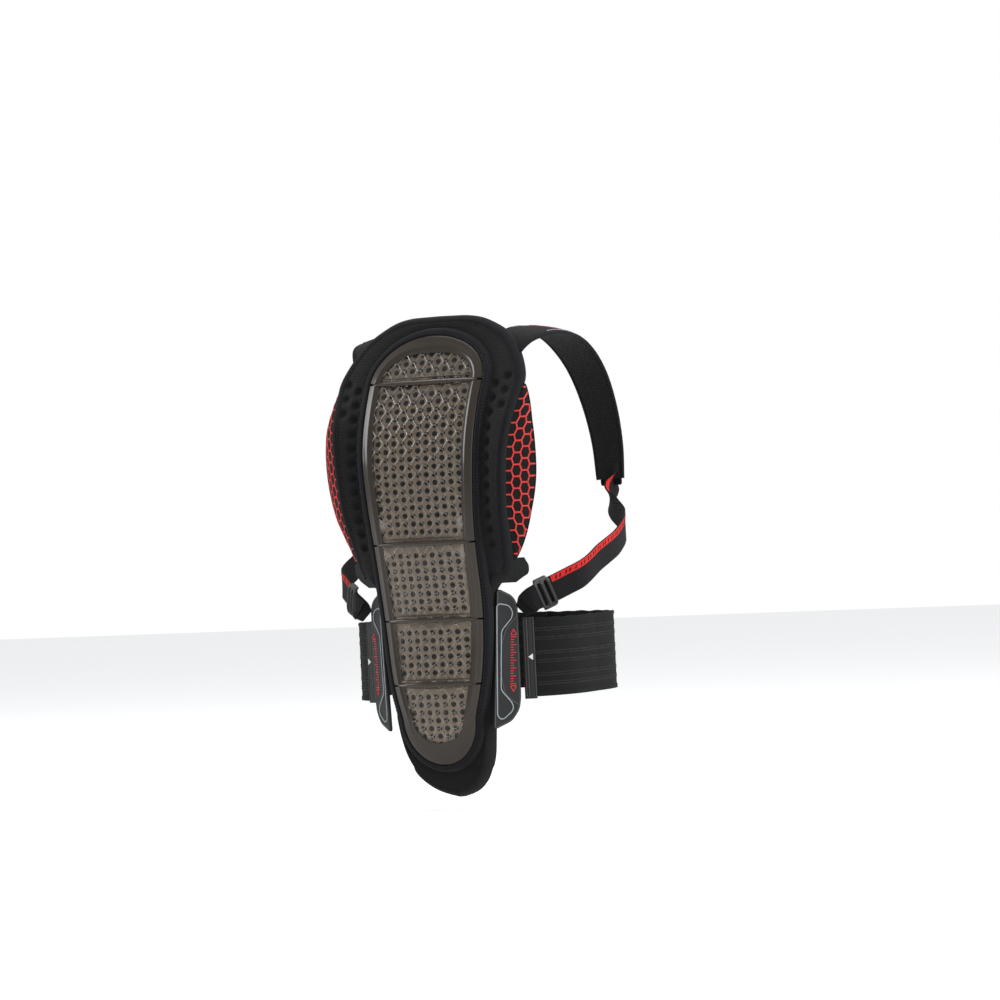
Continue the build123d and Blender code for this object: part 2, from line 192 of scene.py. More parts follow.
def grid_faces(rows, columns, start=0, flip=False, closed=False):
    """Quads of a grid of points laid out row by row."""
    faces = []
    for r in range(rows - 1):
        for c in range(columns if closed else columns - 1):
            d = (c + 1) % columns
            quad = (
                start + r * columns + c, start + r * columns + d,
                start + (r + 1) * columns + d, start + (r + 1) * columns + c,
            )
            faces.append(quad[::-1] if flip else quad)
    return faces


def closed_sheet(top, bottom):
    """Closed solid between two point grids (rows, columns, 3). Returns points and faces."""
    rows, columns = top.shape[:2]
    count = rows * columns
    verts = np.concatenate([top.reshape(-1, 3), bottom.reshape(-1, 3)])
    faces = grid_faces(rows, columns) + grid_faces(rows, columns, count, flip=True)
    rim = [(0, c) for c in range(columns - 1)]
    rim += [(r, columns - 1) for r in range(rows - 1)]
    rim += [(rows - 1, c) for c in range(columns - 1, 0, -1)]
    rim += [(r, 0) for r in range(rows - 1, 0, -1)]
    loop = [r * columns + c for r, c in rim]
    for a, b in zip(loop, loop[1:] + loop[:1]):
        faces.append((b, a, count + a, count + b))
    return verts, faces


def tube(rings):
    """Closed tube through rings of points (n, m, 3). Returns points and faces."""
    count, around = rings.shape[:2]
    faces = grid_faces(count, around, closed=True)
    faces.append(tuple(range(around))[::-1])
    faces.append(tuple((count - 1) * around + i for i in range(around)))
    return rings.reshape(-1, 3), faces


def join_parts(parts):
    """Several (points, faces) pairs as one."""
    verts = []
    faces = []
    start = 0
    for points, quads in parts:
        verts.append(np.asarray(points, float))
        faces += [tuple(start + i for i in f) for f in quads]
        start += len(points)
    return np.concatenate(verts), faces


def inside(points, loop):
    """Which points (n, 2) lie inside a closed loop (m, 2)."""
    x, y = points[:, 0][:, None], points[:, 1][:, None]
    x0, y0 = loop[:, 0], loop[:, 1]
    x1, y1 = np.roll(x0, -1), np.roll(y0, -1)
    crosses = (y0 > y) != (y1 > y)
    with np.errstate(divide="ignore", invalid="ignore"):
        meet = x0 + (y - y0) * (x1 - x0) / (y1 - y0)
    return (np.sum(crosses & (x < meet), axis=1) % 2) == 1


def edge_distance(points, loop):
    """Distance from each point (n, 2) to a closed loop (m, 2)."""
    best = np.full(len(points), 1e9)
    for a, b in zip(loop, np.roll(loop, -1, axis=0)):
        side = b - a
        share = np.clip((points - a) @ side / max(side @ side, 1e-9), 0, 1)
        gap = points - a - share[:, None] * side
        best = np.minimum(best, np.hypot(gap[:, 0], gap[:, 1]))
    return best


def fill_points(loop, holes, spacing):
    """Extra points inside a loop, on a staggered grid, clear of its edge and of the holes' points."""
    low, high = loop.min(0), loop.max(0)
    rows = np.arange(low[1] + spacing / 2, high[1], spacing)
    points = []
    for index, v in enumerate(rows):
        shift = spacing / 2 if index % 2 else 0
        points += [(u, v) for u in np.arange(low[0] + shift, high[0], spacing)]
    points = np.array(points).reshape(-1, 2)
    points = points[inside(points, loop)]
    points = points[edge_distance(points, loop) > spacing * 0.45]
    if holes:
        centres = np.array([hole.mean(0) for hole in holes])
        reach = np.array([np.hypot(*(hole - hole.mean(0)).T).max() for hole in holes])
        gap = np.hypot(points[:, 0][:, None] - centres[:, 0], points[:, 1][:, None] - centres[:, 1])
        points = points[np.all(gap > reach + spacing * 0.25, axis=1)]
    return points


MERGE_LIMIT = 1e-5


def cut_sheet(loop, holes, spacing, place, near, far, lines=None):
    """Closed sheet with an outline and holes, between the layers near and far.

    place(u, v, layer) gives points. lines is an optional (points, pairs, lifts) of raised creases on the far face.
    """
    loops = [loop] + list(holes)
    points = np.concatenate(loops)
    owner = np.concatenate([np.full(len(item), index) for index, item in enumerate(loops)])
    edges = []
    start = 0
    for item in loops:
        edges += [(start + i, start + (i + 1) % len(item)) for i in range(len(item))]
        start += len(item)
    lifts = np.zeros(len(points))
    if lines is not None:
        crease_points, pairs, lift = lines
        edges += [(start + a, start + b) for a, b in pairs]
        points = np.concatenate([points, crease_points])
        owner = np.concatenate([owner, np.full(len(crease_points), -1)])
        lifts = np.concatenate([lifts, lift])
    if spacing:
        extra = fill_points(loop, holes, spacing)
        points = np.concatenate([points, extra])
        owner = np.concatenate([owner, np.full(len(extra), -1)])
        lifts = np.concatenate([lifts, np.zeros(len(extra))])
    found = delaunay_2d_cdt([Vector(p) for p in points], edges, [], 0, MERGE_LIMIT)
    flat, _, triangles, origins, _, _ = found
    flat = np.array([tuple(p) for p in flat])
    source = np.array([o[0] if o else -1 for o in origins])
    triangles = np.array(triangles)
    owners = np.where(source >= 0, owner[source], -1)[triangles]
    in_hole = (owners[:, 0] > 0) & (owners[:, 0] == owners[:, 1]) & (owners[:, 1] == owners[:, 2])
    middle = flat[triangles].mean(axis=1)
    triangles = triangles[~in_hole & inside(middle, loop)]
    used = np.unique(triangles)
    renumber = np.full(len(flat), -1)
    renumber[used] = np.arange(len(used))
    flat = flat[used]
    triangles = renumber[triangles]
    lift = np.where(source[used] >= 0, lifts[source[used]], 0)
    top = place(flat[:, 0], flat[:, 1], np.full(len(flat), float(far)) + lift)
    bottom = place(flat[:, 0], flat[:, 1], np.full(len(flat), float(near)))
    count = len(flat)
    sides = {}
    for triangle in triangles:
        for a, b in zip(triangle, np.roll(triangle, -1)):
            key = (min(a, b), max(a, b))
            sides[key] = None if key in sides else (a, b)
    faces = [tuple(t) for t in triangles] + [tuple(t[::-1] + count) for t in triangles]
    faces += [(b, a, count + a, count + b) for a, b in filter(None, sides.values())]
    return np.concatenate([top, bottom]), faces


# ================================================================ materials
def srgb(r, g, b):
    """Scene colour from 0-255 display values."""
    channels = [v / 255 for v in (r, g, b)]
    return tuple(v / 12.92 if v <= 0.04045 else ((v + 0.055) / 1.055) ** 2.4 for v in channels) + (1.0,)


class Shader:
    """Small builder for a node material."""

    def __init__(self, name):
        self.material = bpy.data.materials.new(name)
        self.material.use_nodes = True
        self.tree = self.material.node_tree
        self.tree.nodes.clear()
        self.output = self.add("ShaderNodeOutputMaterial")

    def add(self, kind, inputs=None, **settings):
        """New node, with its settings and its inputs (values or sockets)."""
        node = self.tree.nodes.new(kind)
        for key, value in settings.items():
            setattr(node, key, value)
        for key, value in (inputs or {}).items():
            self.feed(node.inputs[key], value)
        return node

    def feed(self, socket, value):
        """Links a socket, or sets its value."""
        if isinstance(value, bpy.types.NodeSocket):
            self.tree.links.new(value, socket)
        else:
            socket.default_value = value

    def math(self, operation, a, b=0.0):
        return self.add("ShaderNodeMath", {0: a, 1: b}, operation=operation).outputs[0]

    def mix(self, share, a, b):
        """Colour between a and b."""
        return self.add("ShaderNodeMix", {0: share, 6: a, 7: b}, data_type="RGBA").outputs[2]

    def noise(self, scale, detail=3.0):
        """Noise from 0 to 1 over the row frame. Scale is in cells per metre."""
        place = self.add("ShaderNodeTexCoord").outputs["Object"]
        return self.add("ShaderNodeTexNoise", {"Vector": place, "Scale": scale, "Detail": detail}).outputs["Fac"]

    def sheet(self):
        """The piece's own (u, v) position, in millimetres."""
        place = self.add("ShaderNodeUVMap", uv_map="mm").outputs["UV"]
        split = self.add("ShaderNodeSeparateXYZ", {0: place})
        return split.outputs[0], split.outputs[1]

    def wave(self, u_share, v_share, pitch):
        """Sine wave over the sheet, repeating every pitch millimetres."""
        u, v = self.sheet()
        along = self.math("ADD", self.math("MULTIPLY", u, u_share), self.math("MULTIPLY", v, v_share))
        return self.math("SINE", self.math("MULTIPLY", along, 2 * math.pi / pitch))

    def surface(self, colour, rough, height=None, depth=0.2, strength=0.6, **extra):
        """Finishes the material with a principled shader. Height, if given, is turned into a bump."""
        inputs = {"Base Color": colour, "Roughness": rough}
        if height is not None:
            bump = self.add("ShaderNodeBump", {"Strength": strength, "Distance": depth * MM, "Height": height})
            inputs["Normal"] = bump.outputs[0]
        inputs.update(extra)
        shader = self.add("ShaderNodeBsdfPrincipled", inputs)
        self.tree.links.new(shader.outputs[0], self.output.inputs[0])
        return self.material


FABRIC_ROUGH = 0.85
FABRIC_FINISH = {"Sheen Weight": 0.04, "Sheen Roughness": 0.5, "Specular IOR Level": 0.25}


def fabric(name, dark, light, pattern, pitch, depth=0.3, strength=0.7):
    """Cloth whose threads are a lattice of waves: knit (diagonal), weave, twill or rib (level lines)."""
    made = Shader(name)
    directions = {
        "knit": ((1, 0.8), (1, -0.8)),
        "weave": ((1, 0), (0, 1)),
        "twill": ((1, 1), (1, 0.3)),
        "rib": ((0, 1), (0.35, 0)),
    }[pattern]
    first = made.wave(*directions[0], pitch)
    second = made.wave(*directions[1], pitch)
    lattice = made.math("MULTIPLY", first, second) if pattern != "rib" else first
    share = made.math("MULTIPLY_ADD", lattice, 0.5)
    share.node.inputs[2].default_value = 0.5
    patches = made.noise(90.0)
    grain = made.noise(1500.0, 2.0)
    mixed = made.mix(share, dark, light)
    worn = made.mix(made.math("MULTIPLY", patches, 0.45), mixed, dark)
    height = made.math("ADD", share, made.math("MULTIPLY", grain, 0.35))
    rough_map = made.math("ADD", made.math("MULTIPLY", grain, 0.1), FABRIC_ROUGH - 0.05)
    return made.surface(worn, rough_map, height, depth, strength, **FABRIC_FINISH)


def moulded(name, colour, rough, grain_scale=2500.0, variation=0.25, depth=0.05, strength=0.35, **extra):
    """Moulded plastic or rubber with a fine grain and slight colour variation."""
    made = Shader(name)
    patches = made.noise(60.0)
    grain = made.noise(grain_scale, 2.0)
    darker = tuple(v * (1 - variation) for v in colour[:3]) + (1.0,)
    mixed = made.mix(patches, darker, colour)
    rough_map = made.math("ADD", made.math("MULTIPLY", patches, 0.12), rough - 0.06)
    return made.surface(mixed, rough_map, grain, depth, strength, **extra)


def smoked_window():
    """See-through smoked plastic: a brown tint with a mirror-like sheen at grazing angles."""
    made = Shader("smoked_window")
    clear = made.add("ShaderNodeBsdfTransparent", {"Color": (0.95, 0.935, 0.915, 1)})
    haze_noise = made.noise(45.0)
    haze_colour = made.mix(haze_noise, srgb(92, 84, 74), srgb(112, 103, 92))
    haze = made.add("ShaderNodeBsdfDiffuse", {"Color": haze_colour})
    film = made.add("ShaderNodeMixShader", {0: 0.03, 1: clear.outputs[0], 2: haze.outputs[0]})
    ripple = made.add(
        "ShaderNodeBump", {"Strength": 0.12, "Distance": 0.3 * MM, "Height": made.noise(110.0, 1.0)}
    )
    gloss = made.add(
        "ShaderNodeBsdfAnisotropic", {"Color": (1, 1, 1, 1), "Roughness": 0.18, "Normal": ripple.outputs[0]}
    )
    edge = made.add("ShaderNodeFresnel", {"IOR": 1.33, "Normal": ripple.outputs[0]})
    both = made.add("ShaderNodeMixShader", {0: edge.outputs[0], 1: film.outputs[0], 2: gloss.outputs[0]})
    made.tree.links.new(both.outputs[0], made.output.inputs[0])
    return made.material


def crease_plastic():
    """The shell's raised lines, painted with a pale diffuse layer: a painted highlight that makes them lighter than
    the clear plastic round them.
    """
    made = Shader("smoked_crease")
    clear = made.add("ShaderNodeBsdfTransparent", {"Color": (0.84, 0.81, 0.77, 1)})
    # The pale diffuse layer mixed in below is a painted highlight on the creases.
    glow = made.mix(made.noise(70.0), srgb(150, 139, 126), srgb(196, 186, 172))
    painted_highlight = made.add("ShaderNodeBsdfDiffuse", {"Color": glow})
    gloss = made.add("ShaderNodeBsdfAnisotropic", {"Color": (1, 1, 1, 1), "Roughness": 0.14})
    film = made.add("ShaderNodeMixShader", {0: 0.32, 1: clear.outputs[0], 2: painted_highlight.outputs[0]})
    both = made.add("ShaderNodeMixShader", {0: 0.09, 1: film.outputs[0], 2: gloss.outputs[0]})
    made.tree.links.new(both.outputs[0], made.output.inputs[0])
    return made.material


COATED = {"Coat Weight": 0.45, "Coat Roughness": 0.12, "Specular IOR Level": 0.35}
MAT = {
    "foam": moulded("perforated_foam", srgb(188, 173, 156), 0.7, 1800.0, 0.12, 0.12, 0.4),
    # Near-black walls of the foam and of its holes: painted shade in the holes.
    "hole": moulded("foam_hole_painted_shade", srgb(22, 19, 17), 0.8, 1800.0, 0.15, 0.1, 0.4),
    # Plain near-black. Under the shell it is the black cover painted darker: partly its own black, partly painted
    # shade in the foam holes.
    "under": moulded("dark_backing_and_shade", srgb(13, 13, 14), 0.9, 1800.0, 0.2, 0.1, 0.4),
    "window": smoked_window(),
    "crease": crease_plastic(),
    "frame": moulded("smoked_frame", srgb(58, 49, 40), 0.3, 900.0, 0.2, 0.03, 0.2, **COATED),
    "rib": moulded("smoked_rib", srgb(70, 60, 50), 0.2, 900.0, 0.2, 0.03, 0.2, **COATED),
    "binding": fabric("binding_tape", srgb(12, 12, 15), srgb(31, 32, 37), "rib", 1.5, depth=0.2),
    "cover": fabric("spacer_mesh", srgb(9, 9, 10), srgb(48, 48, 49), "knit", 2.8, depth=0.5, strength=0.9),
    "tail": fabric("tail_mesh", srgb(11, 11, 12), srgb(29, 29, 30), "knit", 2.2, depth=0.3),
    "tape": fabric("edge_tape", srgb(12, 12, 14), srgb(25, 26, 30), "twill", 1.6, depth=0.2),
    "liner": fabric("liner_mesh", srgb(26, 26, 28), srgb(66, 66, 69), "knit", 3.4, depth=0.4),
    "wing": fabric("wing_mesh", srgb(9, 9, 9), srgb(28, 27, 27), "knit", 1.9, depth=0.3),
    "net": moulded("red_net", srgb(222, 50, 44), 0.5, 2200.0, 0.22, 0.08, 0.4),
    "knit": fabric("grey_knit", srgb(24, 25, 25), srgb(48, 49, 49), "weave", 1.8, depth=0.3),
    "rubber": moulded("moulded_rubber", srgb(23, 24, 24), 0.5, 2600.0, 0.18, 0.06, 0.45),
    "rim": moulded("moulded_rim", srgb(74, 75, 76), 0.45, 2600.0, 0.18, 0.05, 0.35),
    "rung": moulded("strip_rungs", srgb(104, 106, 107), 0.5, 2600.0, 0.18, 0.05, 0.35),
    "silver": moulded("silver_print", srgb(172, 181, 186), 0.38, 2400.0, 0.15, 0.04, 0.3, Metallic=0.35),
    "red": moulded("red_print", srgb(232, 44, 52), 0.45, 2400.0, 0.18, 0.04, 0.3),
    "white": moulded("white_print", srgb(236, 236, 234), 0.5, 2400.0, 0.08, 0.04, 0.3),
    "belt": fabric("belt_elastic", srgb(8, 8, 9), srgb(18, 19, 21), "weave", 1.7, depth=0.25),
    "ridge": fabric("belt_ridge", srgb(26, 25, 23), srgb(58, 55, 50), "twill", 1.3, depth=0.2),
    "hem": fabric("belt_hem", srgb(10, 10, 12), srgb(22, 23, 25), "twill", 1.5, depth=0.2),
    "webbing": fabric("webbing", srgb(9, 9, 11), srgb(26, 26, 29), "twill", 1.9, depth=0.3),
    "red_webbing": fabric("red_webbing", srgb(186, 28, 26), srgb(234, 50, 44), "twill", 1.9, depth=0.3),
    "buckle": moulded("buckle_nylon", srgb(32, 33, 34), 0.38, 2400.0, 0.15, 0.04, 0.4),
    "thread": fabric("thread", srgb(36, 37, 39), srgb(62, 63, 66), "twill", 0.9, depth=0.1),
    "strap": fabric("strap_mesh", srgb(13, 13, 14), srgb(40, 40, 42), "knit", 2.4, depth=0.4),
    "hook": fabric("hook_tape", srgb(20, 20, 22), srgb(60, 60, 63), "weave", 1.6, depth=0.6, strength=1.0),
    "loop": fabric("loop_tape", srgb(26, 26, 28), srgb(52, 52, 55), "weave", 1.1, depth=0.5, strength=0.9),
}


# ================================================================ attaching pieces
def bend_at(lower, upper, height, half=7.0):
    """Settings for fabric that crosses a rib: lower body below, upper body above."""
    return lower, upper, (0, 0, (height - half) * MM), (0, 0, (height + half) * MM)


def attach(piece, body=None, bend=None, nodes=()):
    """Hides the CAD nodes a piece stands for and parents the piece to the body it follows. A piece with bend
    settings is left unparented where it stands.
    """
    if nodes:
        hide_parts(*nodes)
    if bend:
        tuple(bend[2])
        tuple(bend[3])
        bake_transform(piece)
    else:
        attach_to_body(piece, body)
    return piece


# Continuous fabrics are made in four lengths, each of which crosses one rib
BANDS = [
    ("a", 356, 560, bend_at("upper_back", "cap", RIB_HEIGHTS[0]), (1, 2)),
    ("b", 230, 356, bend_at("mid_back", "upper_back", RIB_HEIGHTS[1]), (2, 3)),
    ("c", 156, 230, bend_at("lumbar", "mid_back", RIB_HEIGHTS[2]), (3, 4)),
    ("d", -20, 156, bend_at("tail", "lumbar", RIB_HEIGHTS[3]), (4, 5)),
]
SECTION_GAP = 0.9
SECTION_ENDS = [(height + SECTION_GAP, upper - SECTION_GAP) for height, upper in
                zip(RIB_HEIGHTS + [-50], [600] + RIB_HEIGHTS)]


# ================================================================ outlines seen from behind
def spline_through(knots, values, at):
    """Smooth curve through knots (Catmull-Rom on an uneven row)."""
    knots, values = np.asarray(knots, float), np.asarray(values, float)
    slopes = np.gradient(values, knots)
    at = np.clip(at, knots[0], knots[-1])
    index = np.clip(np.searchsorted(knots, at) - 1, 0, len(knots) - 2)
    width = knots[index + 1] - knots[index]
    t = (at - knots[index]) / width
    return (
        (2 * t**3 - 3 * t**2 + 1) * values[index] + (t**3 - 2 * t**2 + t) * width * slopes[index]
        + (3 * t**2 - 2 * t**3) * values[index + 1] + (t**3 - t**2) * width * slopes[index + 1]
    )


SHELL_Z = [85, 122, 190, 271, 362, 441]
SHELL_X = [42.5, 51, 57.5, 59.5, 64.5, 66]
ARCH_Z, FOOT_Z = 441.0, 85.0
ARCH_HALF, FOOT_HALF = 66, 42.5
ARCH_RUN, FOOT_RUN = 110, 75
SHELL_TOP, SHELL_FOOT = 491.0, 36.0
WINDOW_ARCH = (54.0, 435.0, 38.0, 2.6)
WINDOW_FOOT = (30.0, 85.0, 26.0)


def shell_side(z):
    return spline_through(SHELL_Z, SHELL_X, z)


def shell_half(grow=0.0, step=3.0):
    """Right half of the shell's outline, from the top centre to the bottom centre."""
    top = np.linspace(0, np.pi / 2, max(int(ARCH_RUN / step), 12), endpoint=False)
    arch = np.stack([(ARCH_HALF + grow) * np.sin(top), ARCH_Z + (SHELL_TOP - ARCH_Z + grow) * np.cos(top)], 1)
    heights = side_heights(step)
    side = np.stack([shell_side(heights) + grow, heights], 1)
    low = np.linspace(0, np.pi / 2, max(int(FOOT_RUN / step), 10))[1:]
    foot = np.stack([(FOOT_HALF + grow) * np.cos(low), FOOT_Z - (FOOT_Z - SHELL_FOOT + grow) * np.sin(low)], 1)
    return np.concatenate([arch, side, foot])


def side_heights(step=3.0):
    """Heights down the shell's sides, with one at each cut and on both sides of each flex line."""
    marks = {ARCH_Z, FOOT_Z}
    for low, high in SECTION_ENDS:
        marks |= {h for h in (low, high) if FOOT_Z < h < ARCH_Z}
    marks |= {float(band[1]) for band in BANDS[:3]}
    marks = sorted(marks, reverse=True)
    rows = []
    for high, low in zip(marks, marks[1:]):
        count = max(int(round((high - low) / step)), 1)
        rows += list(np.linspace(high, low, count, endpoint=False))
    return np.array(rows + [marks[-1]])


def window_half(step=3.0):
    """Right half of the window's outline, with its points matched to those of shell_half."""
    half_width, base, rise, power = WINDOW_ARCH
    start = math.degrees(math.acos(((ARCH_Z - base) / rise) ** (power / 2)))
    top = np.linspace(0, math.radians(start), max(int(ARCH_RUN / step), 12), endpoint=False)
    arch = np.stack([half_width * np.sin(top) ** (2 / power), base + rise * np.cos(top) ** (2 / power)], 1)
    heights = side_heights(step)
    inset = np.interp(heights, [85, 130, 441], [12.5, 12.0, 12.3])
    side = np.stack([shell_side(heights) - inset, heights], 1)
    low = np.linspace(0, np.pi / 2, max(int(FOOT_RUN / step), 10))[1:]
    wide, centre, drop = WINDOW_FOOT
    foot = np.stack([wide * np.cos(low), centre - drop * np.sin(low)], 1)
    return np.concatenate([arch, side, foot])


def full_loop(half):
    """Closed outline from its right half."""
    return np.concatenate([half, (half * [-1, 1])[-2:0:-1]])


def clip_loop(loop, low, high):
    """Part of a closed outline between two heights."""
    for limit, sign in ((low, 1), (high, -1)):
        kept = []
        for a, b in zip(loop, np.roll(loop, -1, axis=0)):
            side_a, side_b = sign * (a[1] - limit), sign * (b[1] - limit)
            if side_a >= 0:
                kept.append(a)
            if side_a * side_b < 0:
                kept.append(a + (b - a) * side_a / (side_a - side_b))
        loop = np.array(kept)
    gap = np.hypot(*(loop - np.roll(loop, 1, axis=0)).T)
    return loop[gap > 0.02]


def clip_convex(polygon, outline):
    """Part of a small polygon inside a convex outline (both counter-clockwise or both clockwise)."""
    sign = 1 if loop_area(outline) > 0 else -1
    for a, b in zip(outline, np.roll(outline, -1, axis=0)):
        if len(polygon) < 3:
            return polygon[:0]
        normal = np.array([-(b - a)[1], (b - a)[0]]) * sign
        side = (polygon - a) @ normal
        if np.all(side >= 0):
            continue
        kept = []
        for i in range(len(polygon)):
            j = (i + 1) % len(polygon)
            if side[i] >= 0:
                kept.append(polygon[i])
            if side[i] * side[j] < 0:
                kept.append(polygon[i] + (polygon[j] - polygon[i]) * side[i] / (side[i] - side[j]))
        polygon = np.array(kept).reshape(-1, 2)
    return polygon


def back_sheet_uv(verts):
    """Sheet position of points on the back: across and up."""
    return verts[:, [0, 2]]


# ================================================================ perforated foam under the window
HOLE_RADIUS = 2.95
HOLE_ACROSS = 9.4
HOLE_UP = 8.4
HOLE_BANDS = [(441, 600), (271, 441), (190, 271), (122, 190), (20, 122)]
FOAM_NEAR, FOAM_FAR = 13.8, 19.4


def hole_centres(section):
    """Hole centres of one section: rows evenly spaced between its ribs."""
    low, high = HOLE_BANDS[section]
    if section == 0:
        rows = np.arange(low + HOLE_UP / 2, high, HOLE_UP)
    elif section == 4:
        rows = np.arange(high - HOLE_UP / 2, low, -HOLE_UP)
    else:
        count = round((high - low) / HOLE_UP)
        rows = low + (np.arange(count) + 0.5) * (high - low) / count
    columns = np.arange(-7, 8) * HOLE_ACROSS
    grid = np.array([(u, v) for v in rows for u in columns])
    grid[:, 1] += np.where(grid[:, 1] > 380, (grid[:, 0] / ARCH_HALF) * (grid[:, 1] - 380) * 0.02, 0)
    return grid


def foam_pieces():
    outline = full_loop(shell_half(-1.0, 4.0))
    window = full_loop(window_half(4.0))
    turn = np.linspace(0, 2 * np.pi, 12, endpoint=False) + np.pi / 12
    ring = np.stack([np.cos(turn), np.sin(turn)], 1)
    for section, (low, high) in enumerate(SECTION_ENDS):
        loop = clip_loop(outline, low, high)
        centres = hole_centres(section)
        near_window = inside(centres, window) | (edge_distance(centres, window) < 2.5)
        clear = inside(centres, loop) & (edge_distance(centres, loop) > HOLE_RADIUS + 0.5)
        holes = [c + ring * HOLE_RADIUS for c in centres[near_window & clear]]
        verts, faces = cut_sheet(loop, holes, 7.0, on_back, FOAM_NEAR, FOAM_FAR)
        # Every side wall, round the outline and inside the holes, takes the near-black hole material: painted
        # shade.
        slots = np.array([1 if len(face) == 4 else 0 for face in faces])
        looks, uv = [MAT["foam"], MAT["hole"]], back_sheet_uv(verts)
        piece = new_piece(f"foam_{section + 1}", verts, faces, looks, slots=slots, uv=uv)
        attach(piece, SECTION_BODIES[section], nodes=[f"perforated_foam_{section + 1}"])


# ================================================================ see-through shell
HEX_TOP = 1.7
HEX_SIDE = 7.7
HEX_HALF = 8.4
CREASE_HEIGHT = 0.3
CREASE_HALF = 0.45
SHELL_NEAR, SHELL_FAR = 20.2, 22.9


def hex_cells(outline):
    """Flat-topped cells that cover an outline, in columns that are offset by half a cell."""
    low, high = outline.min(0), outline.max(0)
    pitch = HEX_TOP + HEX_SIDE
    shape = np.array([(HEX_TOP, HEX_HALF), (HEX_SIDE, 0), (HEX_TOP, -HEX_HALF),
                      (-HEX_TOP, -HEX_HALF), (-HEX_SIDE, 0), (-HEX_TOP, HEX_HALF)])
    for column in range(int(np.floor(low[0] / pitch)) - 1, int(np.ceil(high[0] / pitch)) + 2):
        shift = HEX_HALF if column % 2 else 0
        first = int(np.floor((low[1] - shift) / (2 * HEX_HALF))) - 1
        last = int(np.ceil((high[1] - shift) / (2 * HEX_HALF))) + 1
        for row in range(first, last + 1):
            yield shape + [column * pitch, row * 2 * HEX_HALF + shift]


def crease_lines(outline):
    """Rings round every cell inside an outline: the crease itself, its foot and a flat margin."""
    points, pairs, lifts = [], [], []
    shrunk = outline.mean(0) + (outline - outline.mean(0)) * 0.999
    for cell in hex_cells(outline):
        centre = cell.mean(0)
        for inset, lift in ((0.0, CREASE_HEIGHT), (CREASE_HALF, 0.0), (CREASE_HALF + 0.7, 0.0)):
            ring = centre + (cell - centre) * (1 - inset / 5.6)
            ring = clip_convex(ring, shrunk)
            if len(ring) < 3:
                continue
            start = len(points)
            points += list(ring)
            pairs += [(start + i, start + (i + 1) % len(ring)) for i in range(len(ring))]
            at_edge = edge_distance(ring, shrunk) < 0.05
            lifts += list(np.where(at_edge, 0.0, lift))
    return np.array(points), pairs, np.array(lifts)


def facing_lift(verts, faces):
    """How far each face stands above the shell's plain outer layer, on average."""
    flat = on_back(verts[:, 0], verts[:, 2], SHELL_FAR)
    lift = flat[:, 1] - verts[:, 1]
    return np.array([lift[list(face)].mean() if len(face) == 3 else 0 for face in faces])


def window_pieces():
    outline = full_loop(window_half(4.0) + [0.4, 0])
    for section, (low, high) in enumerate(SECTION_ENDS):
        loop = clip_loop(outline, low, high)
        verts, faces = cut_sheet(loop, [], 0, on_back, SHELL_NEAR, SHELL_FAR, lines=crease_lines(loop))
        facing = facing_lift(verts, faces)
        # Faces on the raised creases take the crease material, which carries a painted highlight.
        slots = (facing > CREASE_HEIGHT * 0.2).astype(int)
        looks = [MAT["window"], MAT["crease"]]
        piece = new_piece(f"shell_window_{section + 1}", verts, faces, looks, smooth=50, slots=slots)
        attach(piece, SECTION_BODIES[section], nodes=[f"shell_plate_{section + 1}"])


# Border of the shell across its width: share from the outer edge to the window, layer
FRAME_PROFILE = [
    (0.0, 20.9), (0.02, 21.8), (0.08, 22.7), (0.18, 23.1), (0.34, 23.3), (0.46, 23.8), (0.56, 24.35),
    (0.64, 24.5), (0.72, 24.2), (0.8, 23.5), (0.88, 23.2), (1.0, 23.1), (1.05, 22.95),
]


def frame_strip(outer, inner, name, section):
    """Border strip of one section, from matched points of the outer edge and of the window's edge."""
    shares = np.array([p[0] for p in FRAME_PROFILE])
    layers = np.array([p[1] for p in FRAME_PROFILE])
    flat = outer[:, None, :] + (inner - outer)[:, None, :] * shares[None, :, None]
    fade = np.clip((outer[:, 1] - 52) / 45, 0.15, 1.0)[:, None]
    raised = 23.1 + (layers - 23.1) * np.where(layers > 23.1, fade, 1.0)
    top = on_back(flat[..., 0], flat[..., 1], raised)
    bottom = on_back(flat[..., 0], flat[..., 1], np.full_like(raised, 19.9))
    verts, faces = closed_sheet(top, bottom)
    piece = new_piece(name, verts, faces, MAT["frame"], smooth=50)
    attach(piece, SECTION_BODIES[section], nodes=[f"shell_plate_{section + 1}"])


def frame_pieces():
    outer, inner = shell_half(-0.2, 2.5), window_half(2.5)
    for section, (low, high) in enumerate(SECTION_ENDS):
        keep = (outer[:, 1] >= low - 0.01) & (outer[:, 1] <= high + 0.01)
        edge, hole = outer[keep], inner[keep]
        if section in (0, 4):
            mirrored = [part[::-1] * [-1, 1] for part in (edge, hole)]
            if section == 0:
                edge = np.concatenate([mirrored[0][:-1], edge])
                hole = np.concatenate([mirrored[1][:-1], hole])
            else:
                edge = np.concatenate([edge, mirrored[0][1:]])
                hole = np.concatenate([hole, mirrored[1][1:]])
            frame_strip(edge, hole, f"shell_border_{section + 1}", section)
        else:
            frame_strip(edge, hole, f"shell_border_{section + 1}_right", section)
            frame_strip(edge * [-1, 1], hole * [-1, 1], f"shell_border_{section + 1}_left", section)


